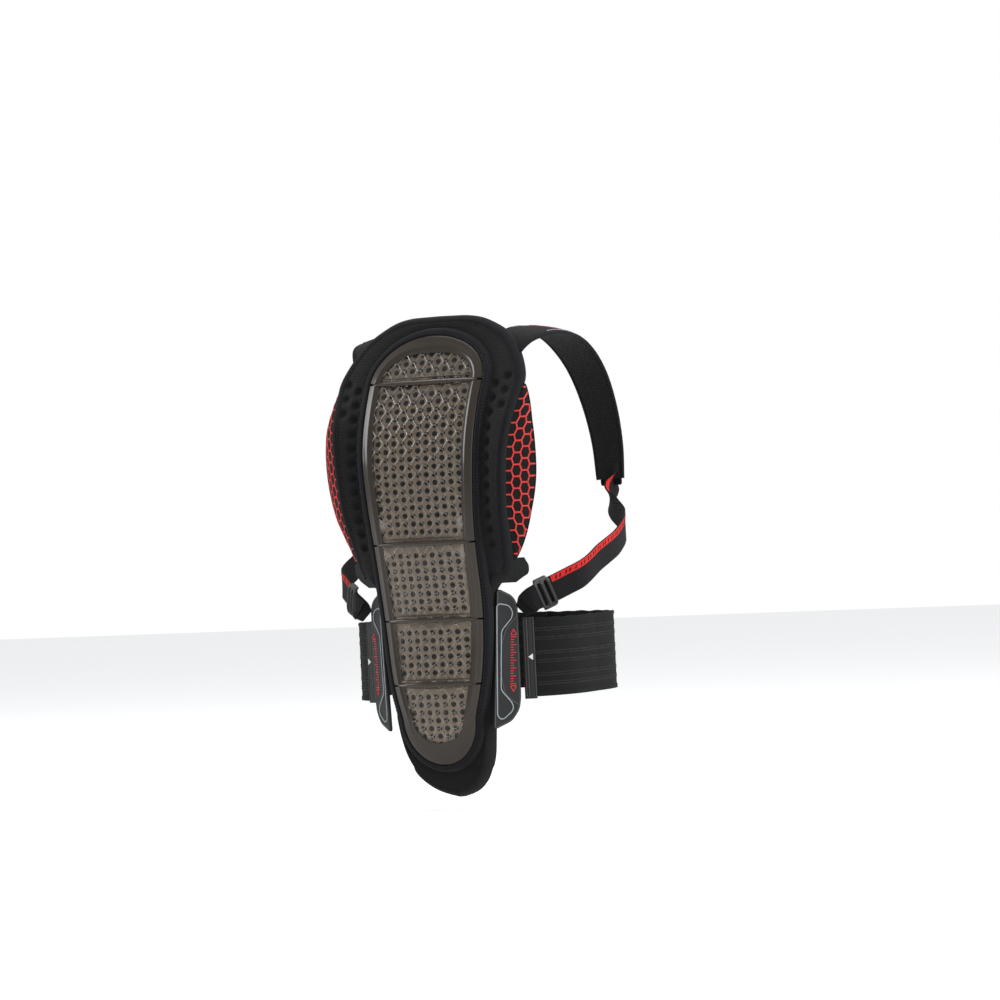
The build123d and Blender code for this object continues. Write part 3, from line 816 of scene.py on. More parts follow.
def rib_pieces():
    """Half-round beads over the flex lines, tapering to points, each with a thin line above it."""
    turn = np.linspace(-np.pi / 2, np.pi / 2, 9)
    riders = ["cap", "upper_back", "mid_back", "lumbar"]
    for index, height in enumerate(RIB_HEIGHTS):
        reach = float(shell_side(height)) - 5.0
        parts = []
        for lift, half, rise, span in ((0.0, 2.6, 2.4, 1.0), (5.6, 0.8, 0.7, 0.86)):
            x = np.linspace(-reach, reach, 61) * span
            taper = np.clip((1 - np.abs(x / (reach * span)) ** 3), 0.0, 1.0) ** 0.5
            taper = np.maximum(taper, 0.06)
            across = np.concatenate([np.sin(turn), [0.6, 0.0, -0.6]])
            out = np.concatenate([np.cos(turn), [-0.25, -0.3, -0.25]])
            z = height + lift + across[None, :] * half * taper[:, None]
            layer = 23.3 + out[None, :] * rise * taper[:, None]
            rings = on_back(np.repeat(x[:, None], len(across), 1), z, layer)
            parts.append(tube(rings))
        verts, faces = join_parts(parts)
        piece = new_piece(f"flex_rib_{index + 1}", verts, faces, MAT["rib"], smooth=60)
        attach(piece, riders[index], nodes=[f"shell_rib_{index + 1}"])


# ================================================================ padded back cover
PAD_OUTLINE = [
    (3, 0), (14, 3), (24, 7), (33, 14), (42, 24), (51, 46), (55, 70), (60, 122), (64.5, 190), (67, 220), (76, 229),
    (89, 240), (91.5, 271), (95, 313), (99, 362), (105, 411), (108, 441), (103.5, 455), (96, 470), (87, 483),
    (76, 493), (62, 501), (49, 507), (33, 510),
]
PAD_X, PAD_Z = zip(*PAD_OUTLINE)
COVER_EDGE = 4.6
COVER_LAYER = 16.2
DIMPLE_PITCH = 15.0
DIMPLE_ROWS = np.arange(262.0, 445.0, DIMPLE_PITCH / 2)


def pad_half_width(z):
    return np.interp(z, PAD_Z, PAD_X)


def pad_loop(step=4.0):
    """Closed outline of the padded back."""
    half = np.array([(0, 510.5)] + PAD_OUTLINE[::-1] + [(0, -0.5)], float)
    length = running_length(half)
    at = np.linspace(0, length[-1], int(length[-1] / step))
    even = np.stack([np.interp(at, length, half[:, 0]), np.interp(at, length, half[:, 1])], 1)
    for _ in range(3):
        even[1:-1] = (even[:-2] + 2 * even[1:-1] + even[2:]) / 4
    return full_loop(even)


PAD_LOOP = pad_loop()
SHELL_LOOP = full_loop(shell_half(0.0, 4.0))


def signed_distance(points, loop):
    """Distance to a closed outline, positive inside it."""
    gap = edge_distance(points, loop)
    return np.where(inside(points, loop), gap, -gap)


def cover_layer(x, z):
    """Layer of the cover's outer face: flat under the shell, crowned and dimpled outside it."""
    flat = np.stack([np.abs(x).ravel(), z.ravel()], 1)
    out = signed_distance(flat, PAD_LOOP).reshape(x.shape)
    off = -signed_distance(flat, SHELL_LOOP).reshape(x.shape)
    share = np.clip((off - 6.5) / np.maximum(off - 6.5 + out, 1.0), 0, 1)
    crown = 1.9 * np.sin(np.pi * share) + np.where(z < 90, 1.2, 0.0) * np.clip(off / 12, 0, 1)
    layer = np.where(off < 3.0, 13.5, COVER_LAYER + crown)
    for index, row in enumerate(DIMPLE_ROWS):
        side = (float(shell_side(row)) if row < ARCH_Z else ARCH_HALF) + (14.0 if index % 2 else 27.0)
        if side > float(pad_half_width(row)) - 12.0:
            continue
        gap = np.hypot(np.abs(x) - side, z - row)
        layer -= 3.6 * np.exp(-((gap / 4.4) ** 4))
    layer -= 0.9 * np.exp(-(((out - 9.0) / 0.9) ** 2)) * ((z < 120) & (off > 8.0))
    round_off = np.sqrt(np.clip(1 - (1 - np.clip(out / 7.0, 0, 1)) ** 2, 0, 1))
    return COVER_EDGE + (layer - COVER_EDGE) * round_off


def pad_columns(z, fine):
    """Side distances across the pad at one height: coarse under the shell, fine outside it."""
    half = float(pad_edge(z))
    if 29.5 < z < FOOT_Z:
        inner = 49.0 * math.sqrt(max(1 - ((FOOT_Z - z) / 55.5) ** 2, 0))
    elif z <= 29.5:
        inner = 0
    elif z <= ARCH_Z:
        inner = float(shell_side(z)) + 3.0
    else:
        inner = 72.5 * math.sqrt(max(1 - ((z - ARCH_Z) / 56.5) ** 2, 0))
    inner = min(max(inner, half * 0.2), half - 1.5)
    side = np.concatenate([np.linspace(0, inner, 5), np.linspace(inner, half, fine + 1)[1:]])
    return np.concatenate([-side[:0:-1], side])


RIGHT = PAD_LOOP[(PAD_LOOP[:, 0] >= 0)]
RIGHT = RIGHT[np.argsort(RIGHT[:, 1])]
PAD_LOOP_Z, PAD_LOOP_X = RIGHT[:, 1], RIGHT[:, 0]


def pad_edge(z):
    """Side distance of the padded back's smoothed outline."""
    return np.interp(z, PAD_LOOP_Z, PAD_LOOP_X)


def cover_pieces():
    for name, low, high, bend, sections in BANDS:
        low, high = max(low, 0.4), min(high, 510.0)
        step = 1.6 if high > 236 else 2.4
        rows = np.linspace(low, high, int((high - low) / step) + 1)
        x = np.array([pad_columns(z, 28 if high > 236 else 14) for z in rows])
        z = np.repeat(rows[:, None], x.shape[1], 1)
        top = on_back(x, z, cover_layer(x, z))
        bottom = on_back(x, z, np.full_like(x, 4.2))
        verts, faces = closed_sheet(top[:, ::-1], bottom[:, ::-1])
        middle = np.array([verts[list(face)].mean(axis=0)[[0, 2]] for face in faces])
        slots = np.where(middle[:, 1] < 238, 1, 0)
        # Under the shell the cover takes the near-black backing: partly its own black, partly painted shade seen
        # through the foam holes.
        slots[inside(middle, SHELL_LOOP)] = 2
        piece = new_piece(
            f"pad_cover_{name}", verts, faces, [MAT["cover"], MAT["tail"], MAT["under"]],
            slots=slots, uv=back_sheet_uv(verts),
        )
        nodes = [f"backing_pad_{n}" for n in sections] + (["tail_pad"] if name == "d" else [])
        attach(piece, bend=bend, nodes=nodes)


def liner_pieces():
    """Quilted lining on the wearer's side."""
    for name, low, high, bend, sections in BANDS:
        low, high = max(low, 1.5), min(high, 508.5)
        rows = np.linspace(low, high, int((high - low) / 2.4) + 1)
        half = pad_edge(rows) - 1.6
        share = np.linspace(-1, 1, 71)
        x = half[:, None] * share[None, :]
        z = np.repeat(rows[:, None], len(share), 1)
        puff = np.abs(np.sin(np.pi * (x + z * 0.5) / 24) * np.sin(np.pi * (x - z * 0.5) / 24)) ** 0.45
        rim = np.clip((half[:, None] - np.abs(x)) / 6, 0, 1) ** 0.5
        layer = 4.1 - (0.9 + 2.9 * puff) * rim
        top = on_back(x, z, np.full_like(x, 4.3))
        bottom = on_back(x, z, layer)
        verts, faces = closed_sheet(top[:, ::-1], bottom[:, ::-1])
        piece = new_piece(f"liner_{name}", verts, faces, MAT["liner"], uv=back_sheet_uv(verts))
        attach(piece, bend=bend, nodes=[f"comfort_liner_{n}" for n in sections])


# ================================================================ tapes that follow an outline
def path_normals(path):
    """Outward normals (to the right of travel) of an open path (n, 2)."""
    along = np.gradient(path, axis=0)
    along /= np.maximum(np.hypot(along[:, 0], along[:, 1]), 1e-9)[:, None]
    return np.stack([along[:, 1], -along[:, 0]], 1)


def sweep_tape(path, outward, profile):
    """Closed strip along a path on the back. profile holds (distance outwards, layer) points."""
    reach = np.array([p[0] for p in profile])
    layer = np.array([p[1] for p in profile])
    flat = path[:, None, :] + outward[:, None, :] * reach[None, :, None]
    rings = on_back(flat[..., 0], flat[..., 1], np.repeat(layer[None, :], len(path), 0))
    sheet = np.stack(np.meshgrid(running_length(profile), running_length(path)), -1).reshape(-1, 2)
    return tube(rings), sheet


STITCH_PITCH, STITCH_LENGTH, STITCH_RADIUS = 3.6, 2.3, 0.42
BEAD_SHARES = np.array([0.0, 0.25, 0.75, 1.0])


def stitch_row(path, outward, offset, layer):
    """Small thread beads along a path on the back."""
    line = path + outward * offset
    travel = running_length(line)
    parts = []
    for start in np.arange(STITCH_PITCH / 2, travel[-1] - STITCH_LENGTH, STITCH_PITCH):
        at = start + BEAD_SHARES * STITCH_LENGTH
        x = np.interp(at, travel, line[:, 0])
        z = np.interp(at, travel, line[:, 1])
        parts.append(bead(on_back(x, z, layer), np.array([0, -1.0, 0]), [0.3, 1, 1, 0.3], STITCH_RADIUS))
    return parts


def bead(points, out, swell, radius, flat=0.75):
    """Thin rounded rod through points, lying on a surface whose outward direction is out."""
    points = np.asarray(points, float)
    along = points[-1] - points[0]
    along /= np.linalg.norm(along)
    across = np.cross(along, out)
    across /= np.linalg.norm(across)
    lift = np.cross(across, along)
    turn = np.linspace(0, 2 * np.pi, 6, endpoint=False)
    ring = np.cos(turn)[:, None] * across + np.sin(turn)[:, None] * lift * flat
    rings = points[:, None, :] + ring[None] * (np.asarray(swell, float) * radius)[:, None, None]
    return tube(rings)


def both_sides(path):
    """A right-hand path and its mirror image, both running the same way round the outline."""
    return [path, (path * [-1, 1])[::-1]]


def tape_piece(name, paths, profile, material, stitches, bend, nodes):
    """Tape along one or more paths, with rows of stitches given as (offset, layer)."""
    parts, sheets, threads = [], [], []
    for path in paths:
        outward = -path_normals(path)
        body, sheet = sweep_tape(path, outward, profile)
        parts.append(body)
        sheets.append(sheet)
        for offset, layer in stitches:
            threads += stitch_row(path, outward, offset, layer)
    body_faces = face_count(parts)
    verts, faces = join_parts(parts + threads)
    sheet = np.concatenate(sheets)
    sheet = np.concatenate([sheet, verts[len(sheet):][:, [0, 2]]])
    slots = np.where(np.arange(len(faces)) < body_faces, 0, 1)
    piece = new_piece(name, verts, faces, [material, MAT["thread"]], slots=slots, uv=sheet)
    attach(piece, bend=bend, nodes=nodes)


TAPE_FOOT = 236.0
BINDING_PROFILE = [
    (0.2, 14.6), (-0.4, 20.4), (0.2, 21.8), (1.6, 22.6), (3.4, 22.6), (5.2, 21.9), (6.6, 20.4), (7.5, 18.2),
    (7.9, 16.4), (7.6, 14.8),
]
TAPE_PROFILE = [
    (-8.2, 17.1), (-7.0, 17.9), (-4.5, 17.9), (-2.2, 16.9), (-0.3, 14.4), (0.9, 11.0), (0.9, 7.0), (0.0, 4.0),
    (-2.0, 2.7), (-5.0, 2.6), (-5.0, 4.4), (-1.4, 6.0), (-0.6, 9.5), (-2.4, 13.4), (-8.2, 15.6),
]


def band_paths(half, low, high, over_top, under_foot=False):
    """Paths of one band along a symmetric outline whose right half runs from top to bottom."""
    keep = half[(half[:, 1] >= low - 0.01) & (half[:, 1] <= high + 0.01)]
    if over_top:
        return [np.concatenate([(keep * [-1, 1])[::-1], keep[1:]])]
    if under_foot:
        return [np.concatenate([keep, (keep * [-1, 1])[::-1][1:]])]
    return both_sides(keep)


def binding_pieces():
    half = shell_half(0.0, 3.0)
    for name, low, high, bend, sections in BANDS:
        paths = band_paths(half, low, high, name == "a", name == "d")
        nodes = [f"shell_binding_{n}" for n in sections]
        stitches = [(1.7, 22.75), (5.6, 21.75)]
        tape_piece(f"shell_binding_{name}", paths, BINDING_PROFILE, MAT["binding"], stitches, bend, nodes)


def edge_tape_pieces():
    half = PAD_LOOP[: len(PAD_LOOP) // 2 + 1]
    half = half[half[:, 0] >= -0.01]
    for mark in (356.0, TAPE_FOOT):
        half = np.concatenate([half, [(float(pad_edge(mark)), mark)]])
    half = half[np.lexsort((half[:, 0], -half[:, 1]))]
    for name, low, high, bend, _ in BANDS[:2]:
        paths = band_paths(half, max(low, TAPE_FOOT), high, name == "a")
        tape_piece(f"edge_tape_{name}", paths, TAPE_PROFILE, MAT["tape"], [(-6.9, 18.0)], bend, [])


# ================================================================ stretch wings and side panels
def wing_base(z):
    """Where the wing leaves the pad's edge: side distance and depth."""
    half = pad_edge(z) - 1.0
    return half, on_back(half, z, 9.0)[..., 1]


def wing_width(z):
    share = np.clip((z - 250.0) / 184.0, 0, 1)
    return 3.0 + 33.0 * np.sin(np.pi * share) ** 0.8


def wing_point(u, z, lift=0.0):
    """Point on the right wing: u runs from the pad's edge outwards, lift is out of its face."""
    x, y = wing_base(z)
    bulge = 2.0 * np.sin(np.pi * np.clip(u / np.maximum(wing_width(z), 1), 0, 1))
    out = bulge + lift
    slope = math.sqrt(0.5)
    return np.stack([x + u * slope + out * slope, y + u * slope - out * slope, z + 0 * u], -1)


NET_PITCH, NET_HALF = 9.0, 6.2
NET_CELL = [(3.4, NET_HALF), (5.6, 0), (3.4, -NET_HALF), (-3.4, -NET_HALF), (-5.6, 0), (-3.4, NET_HALF)]
WING_FOOT, WING_TOP = 250, 434


def net_lines(columns, rows, across, up, count):
    """Sides of the net's hexagons, each one once, as rows of (u, v) points. The first cell is at (across, up)."""
    done = set()
    for column in columns:
        for row in rows:
            shift = NET_HALF if column % 2 else 0
            centre = np.array([column * NET_PITCH + across, up + row * 2 * NET_HALF + shift])
            for a, b in zip(NET_CELL, NET_CELL[1:] + NET_CELL[:1]):
                ends = np.array([centre + a, centre + b])
                key = tuple(np.round(ends.mean(0), 1))
                if key not in done:
                    done.add(key)
                    at = np.linspace(0, 1, count)[:, None]
                    yield ends[0] * (1 - at) + ends[1] * at


def wing_pieces():
    rows = np.linspace(WING_FOOT, WING_TOP, 75)
    share = np.linspace(0, 1, 14)
    z = np.repeat(rows[:, None], len(share), 1)
    u = wing_width(rows)[:, None] * share[None, :]
    top = wing_point(u, z, 0.5)
    bottom = wing_point(u, z, -0.6)
    sheet = closed_sheet(top[:, ::-1], bottom[:, ::-1])
    flat = np.stack([u, z], -1)[:, ::-1].reshape(-1, 2)
    beads = []
    for line in net_lines(range(0, 6), range(-1, 18), 4.0, WING_FOOT, 7):
        room = wing_width(line[:, 1])
        keep = (line[:, 0] > 1.0) & (line[:, 0] < room - 1.2)
        line = line[keep & (line[:, 1] > WING_FOOT + 3) & (line[:, 1] < WING_TOP - 3)]
        if len(line) >= 2:
            points = wing_point(line[:, 0], line[:, 1], 0.75)
            beads.append(bead(points, np.array([0.707, -0.707, 0]), np.ones(len(points)), 0.95, 0.6))
    edge_z = np.linspace(WING_FOOT + 1, WING_TOP - 1, 60)
    rim = rod(wing_point(wing_width(edge_z) - 0.8, edge_z, 0.2), 0.9)
    verts, faces = join_parts([sheet, rim] + beads)
    slots = np.where(np.arange(len(faces)) < face_count([sheet, rim]), 0, 1)
    uv = np.concatenate([flat, flat, verts[2 * len(flat):][:, [0, 2]]])
    pair("stretch_wing", verts, faces, [MAT["wing"], MAT["net"]], "upper_back", slots, uv)


ROD_GUIDE = np.array([0.3, 0.9, 0.2])


def rod(points, radius, around=8):
    """Round rod through a curved row of points."""
    points = np.asarray(points, float)
    along = unit_rows(np.gradient(points, axis=0))
    across = unit_rows(np.cross(along, ROD_GUIDE))
    lift = np.cross(across, along)
    turn = np.linspace(0, 2 * np.pi, around, endpoint=False)
    ring = np.cos(turn)[None, :, None] * across[:, None] + np.sin(turn)[None, :, None] * lift[:, None]
    return tube(points[:, None] + ring * radius)


def pair(name, verts, faces, materials, body, slots=None, uv=None, bend=None, stands=True):
    """Right-hand piece and its mirror image. Unless stands is off, they stand for the CAD nodes of that name."""
    verts = np.asarray(verts, float)
    for side, sign in (("right", 1), ("left", -1)):
        points = verts * [sign, 1, 1]
        loops = faces if sign == 1 else [tuple(f)[::-1] for f in faces]
        piece = new_piece(f"{name}_{side}", points, loops, materials, slots=slots, uv=uv)
        joined = bend and bend[:2] + tuple((sign * p[0], p[1], p[2]) for p in bend[2:])
        attach(piece, body and body.format(side=side), joined, [f"{name}_{side}"] if stands else [])


def panel_pieces():
    """Small knitted panels below the wings."""
    rows = np.linspace(226, 252, 14)
    share = np.linspace(0, 1, 10)
    z = np.repeat(rows[:, None], len(share), 1)
    inner = pad_edge(z) - 2.5
    reach = np.interp(rows, [226, 234, 252], [20, 24, 15])[:, None] * share[None, :]
    depth = on_back(inner, z, 8.5)[..., 1]
    wave = 0.5 * np.sin(z * 0.7)
    top = np.stack([inner + reach * 0.8, depth + reach * 0.6 - 1.2 + wave, z], -1)
    bottom = top + [-0.6, 1.4, 0]
    verts, faces = closed_sheet(top[:, ::-1], bottom[:, ::-1])
    flat = np.stack([reach, z], -1)[:, ::-1].reshape(-1, 2)
    pair("side_panel", verts, faces, MAT["knit"], "upper_back", uv=np.concatenate([flat, flat]))


# ================================================================ flat relief pieces
def rounded(points, radius, steps=4):
    """Outline with its corners rounded."""
    points = np.asarray(points, float)
    loop = []
    for before, corner, after in zip(np.roll(points, 1, axis=0), points, np.roll(points, -1, axis=0)):
        to_before, to_after = before - corner, after - corner
        reach = min(radius, np.linalg.norm(to_before) * 0.45, np.linalg.norm(to_after) * 0.45)
        first = corner + to_before / np.linalg.norm(to_before) * reach
        last = corner + to_after / np.linalg.norm(to_after) * reach
        for t in np.linspace(0, 1, steps + 1):
            loop.append((1 - t) ** 2 * first + 2 * t * (1 - t) * corner + t**2 * last)
    return np.array(loop)


def inset_loop(loop, distance):
    """Outline moved inwards, corner by corner."""
    sign = 1 if loop_area(loop) > 0 else -1
    ahead = unit_rows(np.roll(loop, -1, axis=0) - loop)
    behind = np.roll(ahead, 1, axis=0)
    normal = np.stack([-(ahead + behind)[:, 1], (ahead + behind)[:, 0]], 1) * sign
    length = np.linalg.norm(normal, axis=1)
    normal = normal / np.maximum(length, 0.2)[:, None]
    return loop + normal * (distance * np.minimum(2 / np.maximum(length, 0.7), 1.6))[:, None]


def relief(loop, levels, place):
    """Closed solid from an outline and (inset, height) levels. Returns points, faces and the level of each face."""
    rings = [inset_loop(loop, inset) for inset, _ in levels]
    count = len(loop)
    heights = [np.full(count, height) for _, height in levels]
    verts = [place(ring[:, 0], ring[:, 1], height) for ring, height in zip(rings, heights)]
    faces = []
    tags = []
    for level in range(len(levels) - 1):
        low, high = level * count, (level + 1) * count
        for i in range(count):
            j = (i + 1) % count
            faces.append((low + i, low + j, high + j, high + i))
            tags.append(level)
    area = loop_area(loop)
    if area < 0:
        faces = [f[::-1] for f in faces]
    for level, flip in ((0, area > 0), (len(levels) - 1, area < 0)):
        edges = [(i, (i + 1) % count) for i in range(count)]
        _, _, cap, origin, _, _ = delaunay_2d_cdt([Vector(p) for p in rings[level]], edges, [], 1, MERGE_LIMIT)
        for face in cap:
            picked = [level * count + origin[v][0] for v in face if origin[v]]
            if len(picked) == 3:
                ring = rings[level]
                a, b, c = (ring[k - level * count] for k in picked)
                turn = (b - a)[0] * (c - a)[1] - (b - a)[1] * (c - a)[0]
                if (turn > 0) == flip:
                    picked = picked[::-1]
                faces.append(tuple(picked))
                tags.append(level)
    return np.concatenate(verts), faces, tags


def closed_rod(points, radius, flat, out):
    """Round rod along a closed row of points. "flat" thins it along the direction out."""
    points = np.asarray(points, float)
    along = unit_rows(np.roll(points, -1, axis=0) - np.roll(points, 1, axis=0))
    across = unit_rows(np.cross(along, out))
    lift = np.cross(across, along)
    around = 8
    turn = np.linspace(0, 2 * np.pi, around, endpoint=False)
    ring = np.cos(turn)[None, :, None] * across[:, None] + np.sin(turn)[None, :, None] * lift[:, None] * flat
    rings = points[:, None] + ring * radius
    count = len(points)
    faces = grid_faces(count, around, closed=True)
    for c in range(around):
        d = (c + 1) % around
        faces.append(((count - 1) * around + c, (count - 1) * around + d, d, c))
    return rings.reshape(-1, 3), faces


# ================================================================ waist adjustment plates
PLATE_SLOPE = math.radians(36.5)
PLATE_OUT = np.array([math.sin(PLATE_SLOPE), -math.cos(PLATE_SLOPE), 0])
PLATE_OUTLINE = [
    (2, 218.5), (6, 219.5), (18, 213), (22.5, 207), (24.2, 200), (23.4, 105), (21.4, 93), (13, 81), (-8, 72),
]
PIPING_OUTLINE = [
    (1.5, 202), (4.5, 204.5), (15, 202), (18.3, 195), (17, 189), (5.2, 176), (1.8, 114),
    (12.5, 101), (14.4, 95.5), (12.5, 91), (3.5, 83.5), (-1, 84), (-3.2, 88),
]
POCKET_LINE = [(22.4, 191), (10.0, 176), (7.2, 169), (4.6, 118), (6.2, 111), (20.6, 97)]
PLATE_LOOP = rounded(PLATE_OUTLINE[::-1], 5)
PIPING_LOOP = rounded(PIPING_OUTLINE[::-1], 4)
PLATE_LEVELS = [
    (0.9, -3.6), (0.0, -2.9), (0.0, -1.0), (0.3, -0.25), (0.8, 0.0),
    (1.0, 0.35), (1.5, 0.45), (1.9, 0.3), (2.2, 0.0),
]
RIM_LEVELS = (5, 6, 7)
PLATE_X, PLATE_Y = 67, -115.5
SCALE_TOP = 169.0
SCALE_PITCH = 2.73
SCALE_MARKS = 19
SCALE_INNER = 15.0
SCALE_LEAN = 3.0
LONG_MARK, SHORT_MARK, MARK_HALF = 6.2, 3.6, 0.48
ARROW_GAP, ARROW_TIP = 2.2, 6.0


def on_plate(u, z, out):
    return np.stack([
        PLATE_X + u * math.cos(PLATE_SLOPE) + out * PLATE_OUT[0],
        PLATE_Y + u * math.sin(PLATE_SLOPE) + out * PLATE_OUT[1],
        z + 0 * u,
    ], -1)


def plate_pieces():
    verts, faces, tags = relief(PLATE_LOOP, PLATE_LEVELS, on_plate)
    plain = len(faces)
    pocket, _, _ = smooth_path([(u, z, 0) for u, z in POCKET_LINE], 2.0)
    ridge = on_plate(pocket[:, 0], pocket[:, 1], np.full(len(pocket), 0.1))
    verts, faces = join_parts([(verts, faces), rod(ridge, 0.65, 6)])
    slots = [1 if tag in RIM_LEVELS else 0 for tag in tags] + [1] * (len(faces) - plain)
    pair("adjustment_plate", verts, faces, [MAT["rubber"], MAT["rim"]], "lumbar", slots)

    line = on_plate(PIPING_LOOP[:, 0], PIPING_LOOP[:, 1], np.full(len(PIPING_LOOP), 0.35))
    verts, faces = closed_rod(line, 0.62, 0.8, PLATE_OUT)
    pair("plate_piping", verts, faces, MAT["silver"], "lumbar")

    parts = []
    for index in range(SCALE_MARKS):
        start = SCALE_INNER - SCALE_LEAN * index / (SCALE_MARKS - 1)
        end = start + (LONG_MARK if index % 3 == 0 else SHORT_MARK)
        z = SCALE_TOP - index * SCALE_PITCH
        low, high = z - MARK_HALF, z + MARK_HALF
        box = [(start, low), (end, low), (end, high), (start, high)]
        mark, quads, _ = relief(rounded(box, 0.3, 2), [(0, -0.1), (0, 0.3), (0.15, 0.45)], on_plate)
        parts.append((mark, quads))
    foot = SCALE_TOP - (SCALE_MARKS - 1) * SCALE_PITCH
    for left, base, tip in (
        (SCALE_INNER, SCALE_TOP + ARROW_GAP, ARROW_TIP),
        (SCALE_INNER - SCALE_LEAN, foot - ARROW_GAP, -ARROW_TIP),
    ):
        arrow = rounded([(left, base), (left + LONG_MARK, base), (left + LONG_MARK / 2, base + tip)], 0.7, 3)
        raised = on_plate(arrow[:, 0], arrow[:, 1], np.full(len(arrow), 0.25))
        parts.append(closed_rod(raised, 0.5, 0.7, PLATE_OUT))
    verts, faces = join_parts(parts)
    pair("height_scale", verts, faces, MAT["red"], "lumbar")


# ================================================================ waist belt
WAIST_POWER = 3
WAIST_SIZE = (127.5, 106.0)
BELT_FOOT, BELT_TOP = 105.0, 189.0


def round_trunk(angle, half_width, half_depth, offset, z):
    """Points round the trunk: angle 0 is behind, 90 is the right side."""
    angle, offset, z = np.broadcast_arrays(*(np.asarray(v, float) for v in (angle, offset, z)))
    across, back = np.sin(np.radians(angle)), -np.cos(np.radians(angle))
    swell = np.abs(across / half_width) ** WAIST_POWER + np.abs(back / half_depth) ** WAIST_POWER
    scale = swell ** (-1 / WAIST_POWER)
    x, y = across * scale, back * scale
    nx = (np.abs(x) / half_width) ** (WAIST_POWER - 1) / half_width * np.sign(x + 1e-9)
    ny = (np.abs(y) / half_depth) ** (WAIST_POWER - 1) / half_depth * np.sign(y)
    size = np.hypot(nx, ny)
    return np.stack([x + nx / size * offset, y + ny / size * offset, z], -1)


ARC_ANGLES = np.linspace(0, 200, 401)
ARC_POINTS = round_trunk(ARC_ANGLES, *WAIST_SIZE, 0, 0)
ARC_LENGTH = running_length(ARC_POINTS)


def arc_at(angle):
    """Distance round the waist at an angle."""
    return np.interp(angle, ARC_ANGLES, ARC_LENGTH)


def angle_at(arc):
    """Angle at a distance round the waist."""
    return np.interp(arc, ARC_LENGTH, ARC_ANGLES)


def belt_sheet(angles, step, heights, row_step, outer, inner, lap=0.0):
    """Closed band round the waist. outer and inner give offsets from arc length and height."""
    start, end = arc_at(angles)
    arc = np.linspace(start, end, int((end - start) / step) + 1)
    low, high = heights
    rows = np.linspace(0, 1, int((BELT_TOP - BELT_FOOT) / row_step) + 1)
    arc_grid, row_grid = np.meshgrid(arc, rows)
    z = low + ((high(arc_grid) if callable(high) else high) - low) * row_grid
    angle_grid = np.repeat(angle_at(arc)[None, :], len(rows), 0)
    lift = lap * np.maximum(0, -np.cos(np.radians(angle_grid)))
    out = round_trunk(angle_grid, *WAIST_SIZE, outer(arc_grid, z) + lift, z)
    back = round_trunk(angle_grid, *WAIST_SIZE, inner(arc_grid, z) + lift, z)
    verts, faces = closed_sheet(out, back)
    sheet = np.stack([arc_grid, z], -1).reshape(-1, 2)
    return verts, faces, np.concatenate([sheet, sheet])


RIDGE_HEIGHTS = [175.3, 165.7, 151.1, 141.8, 128.1, 118.5]
RIDGE_SHIFT = 1.2
HEM_HALF = 4.6
STRIP_ANGLES = (42.7, 48.2)
STRIP_OUT = 3.3
POINTER_ANGLES = (44.8, 46.9)
ELASTIC_ANGLES = (48.3, 193.0)
PATCH_ANGLES, PATCH_HEIGHTS = (170, 190), (113.0, 181.0)
BELT_LAP = 6.6


def belt_face(arc, z):
    """Outer offset of the elastic belt: pairs of thin ridges and hemmed edges."""
    offset = np.full_like(z, 2.5)
    for height in RIDGE_HEIGHTS:
        for shift in (-RIDGE_SHIFT, RIDGE_SHIFT):
            offset += 0.6 * np.exp(-(((z - height - shift) / 0.6) ** 2))
    for edge in (BELT_FOOT, BELT_TOP):
        offset += 0.7 * (np.abs(z - edge) < HEM_HALF)
    gather = 0.25 * np.sin(arc * 1.15) * np.exp(-(((z - 147) / 60) ** 4))
    return offset + gather


def strip_face(arc, z):
    """Outer offset of the moulded end strip: rounded, with a shallow channel along its inner edge."""
    start, end = arc_at(STRIP_ANGLES)
    channel = 0.4 * np.exp(-(((arc - start - 5.4) / 0.7) ** 2))
    edge = np.minimum(arc - start, end - arc)
    return STRIP_OUT - channel - 1.2 * np.clip(1 - edge / 1.2, 0, 1) ** 2


def wavy_top(arc):
    return 187.6 + 0.35 * np.sin(arc * 0.31) + 0.25 * np.sin(arc * 0.17 + 1.0)


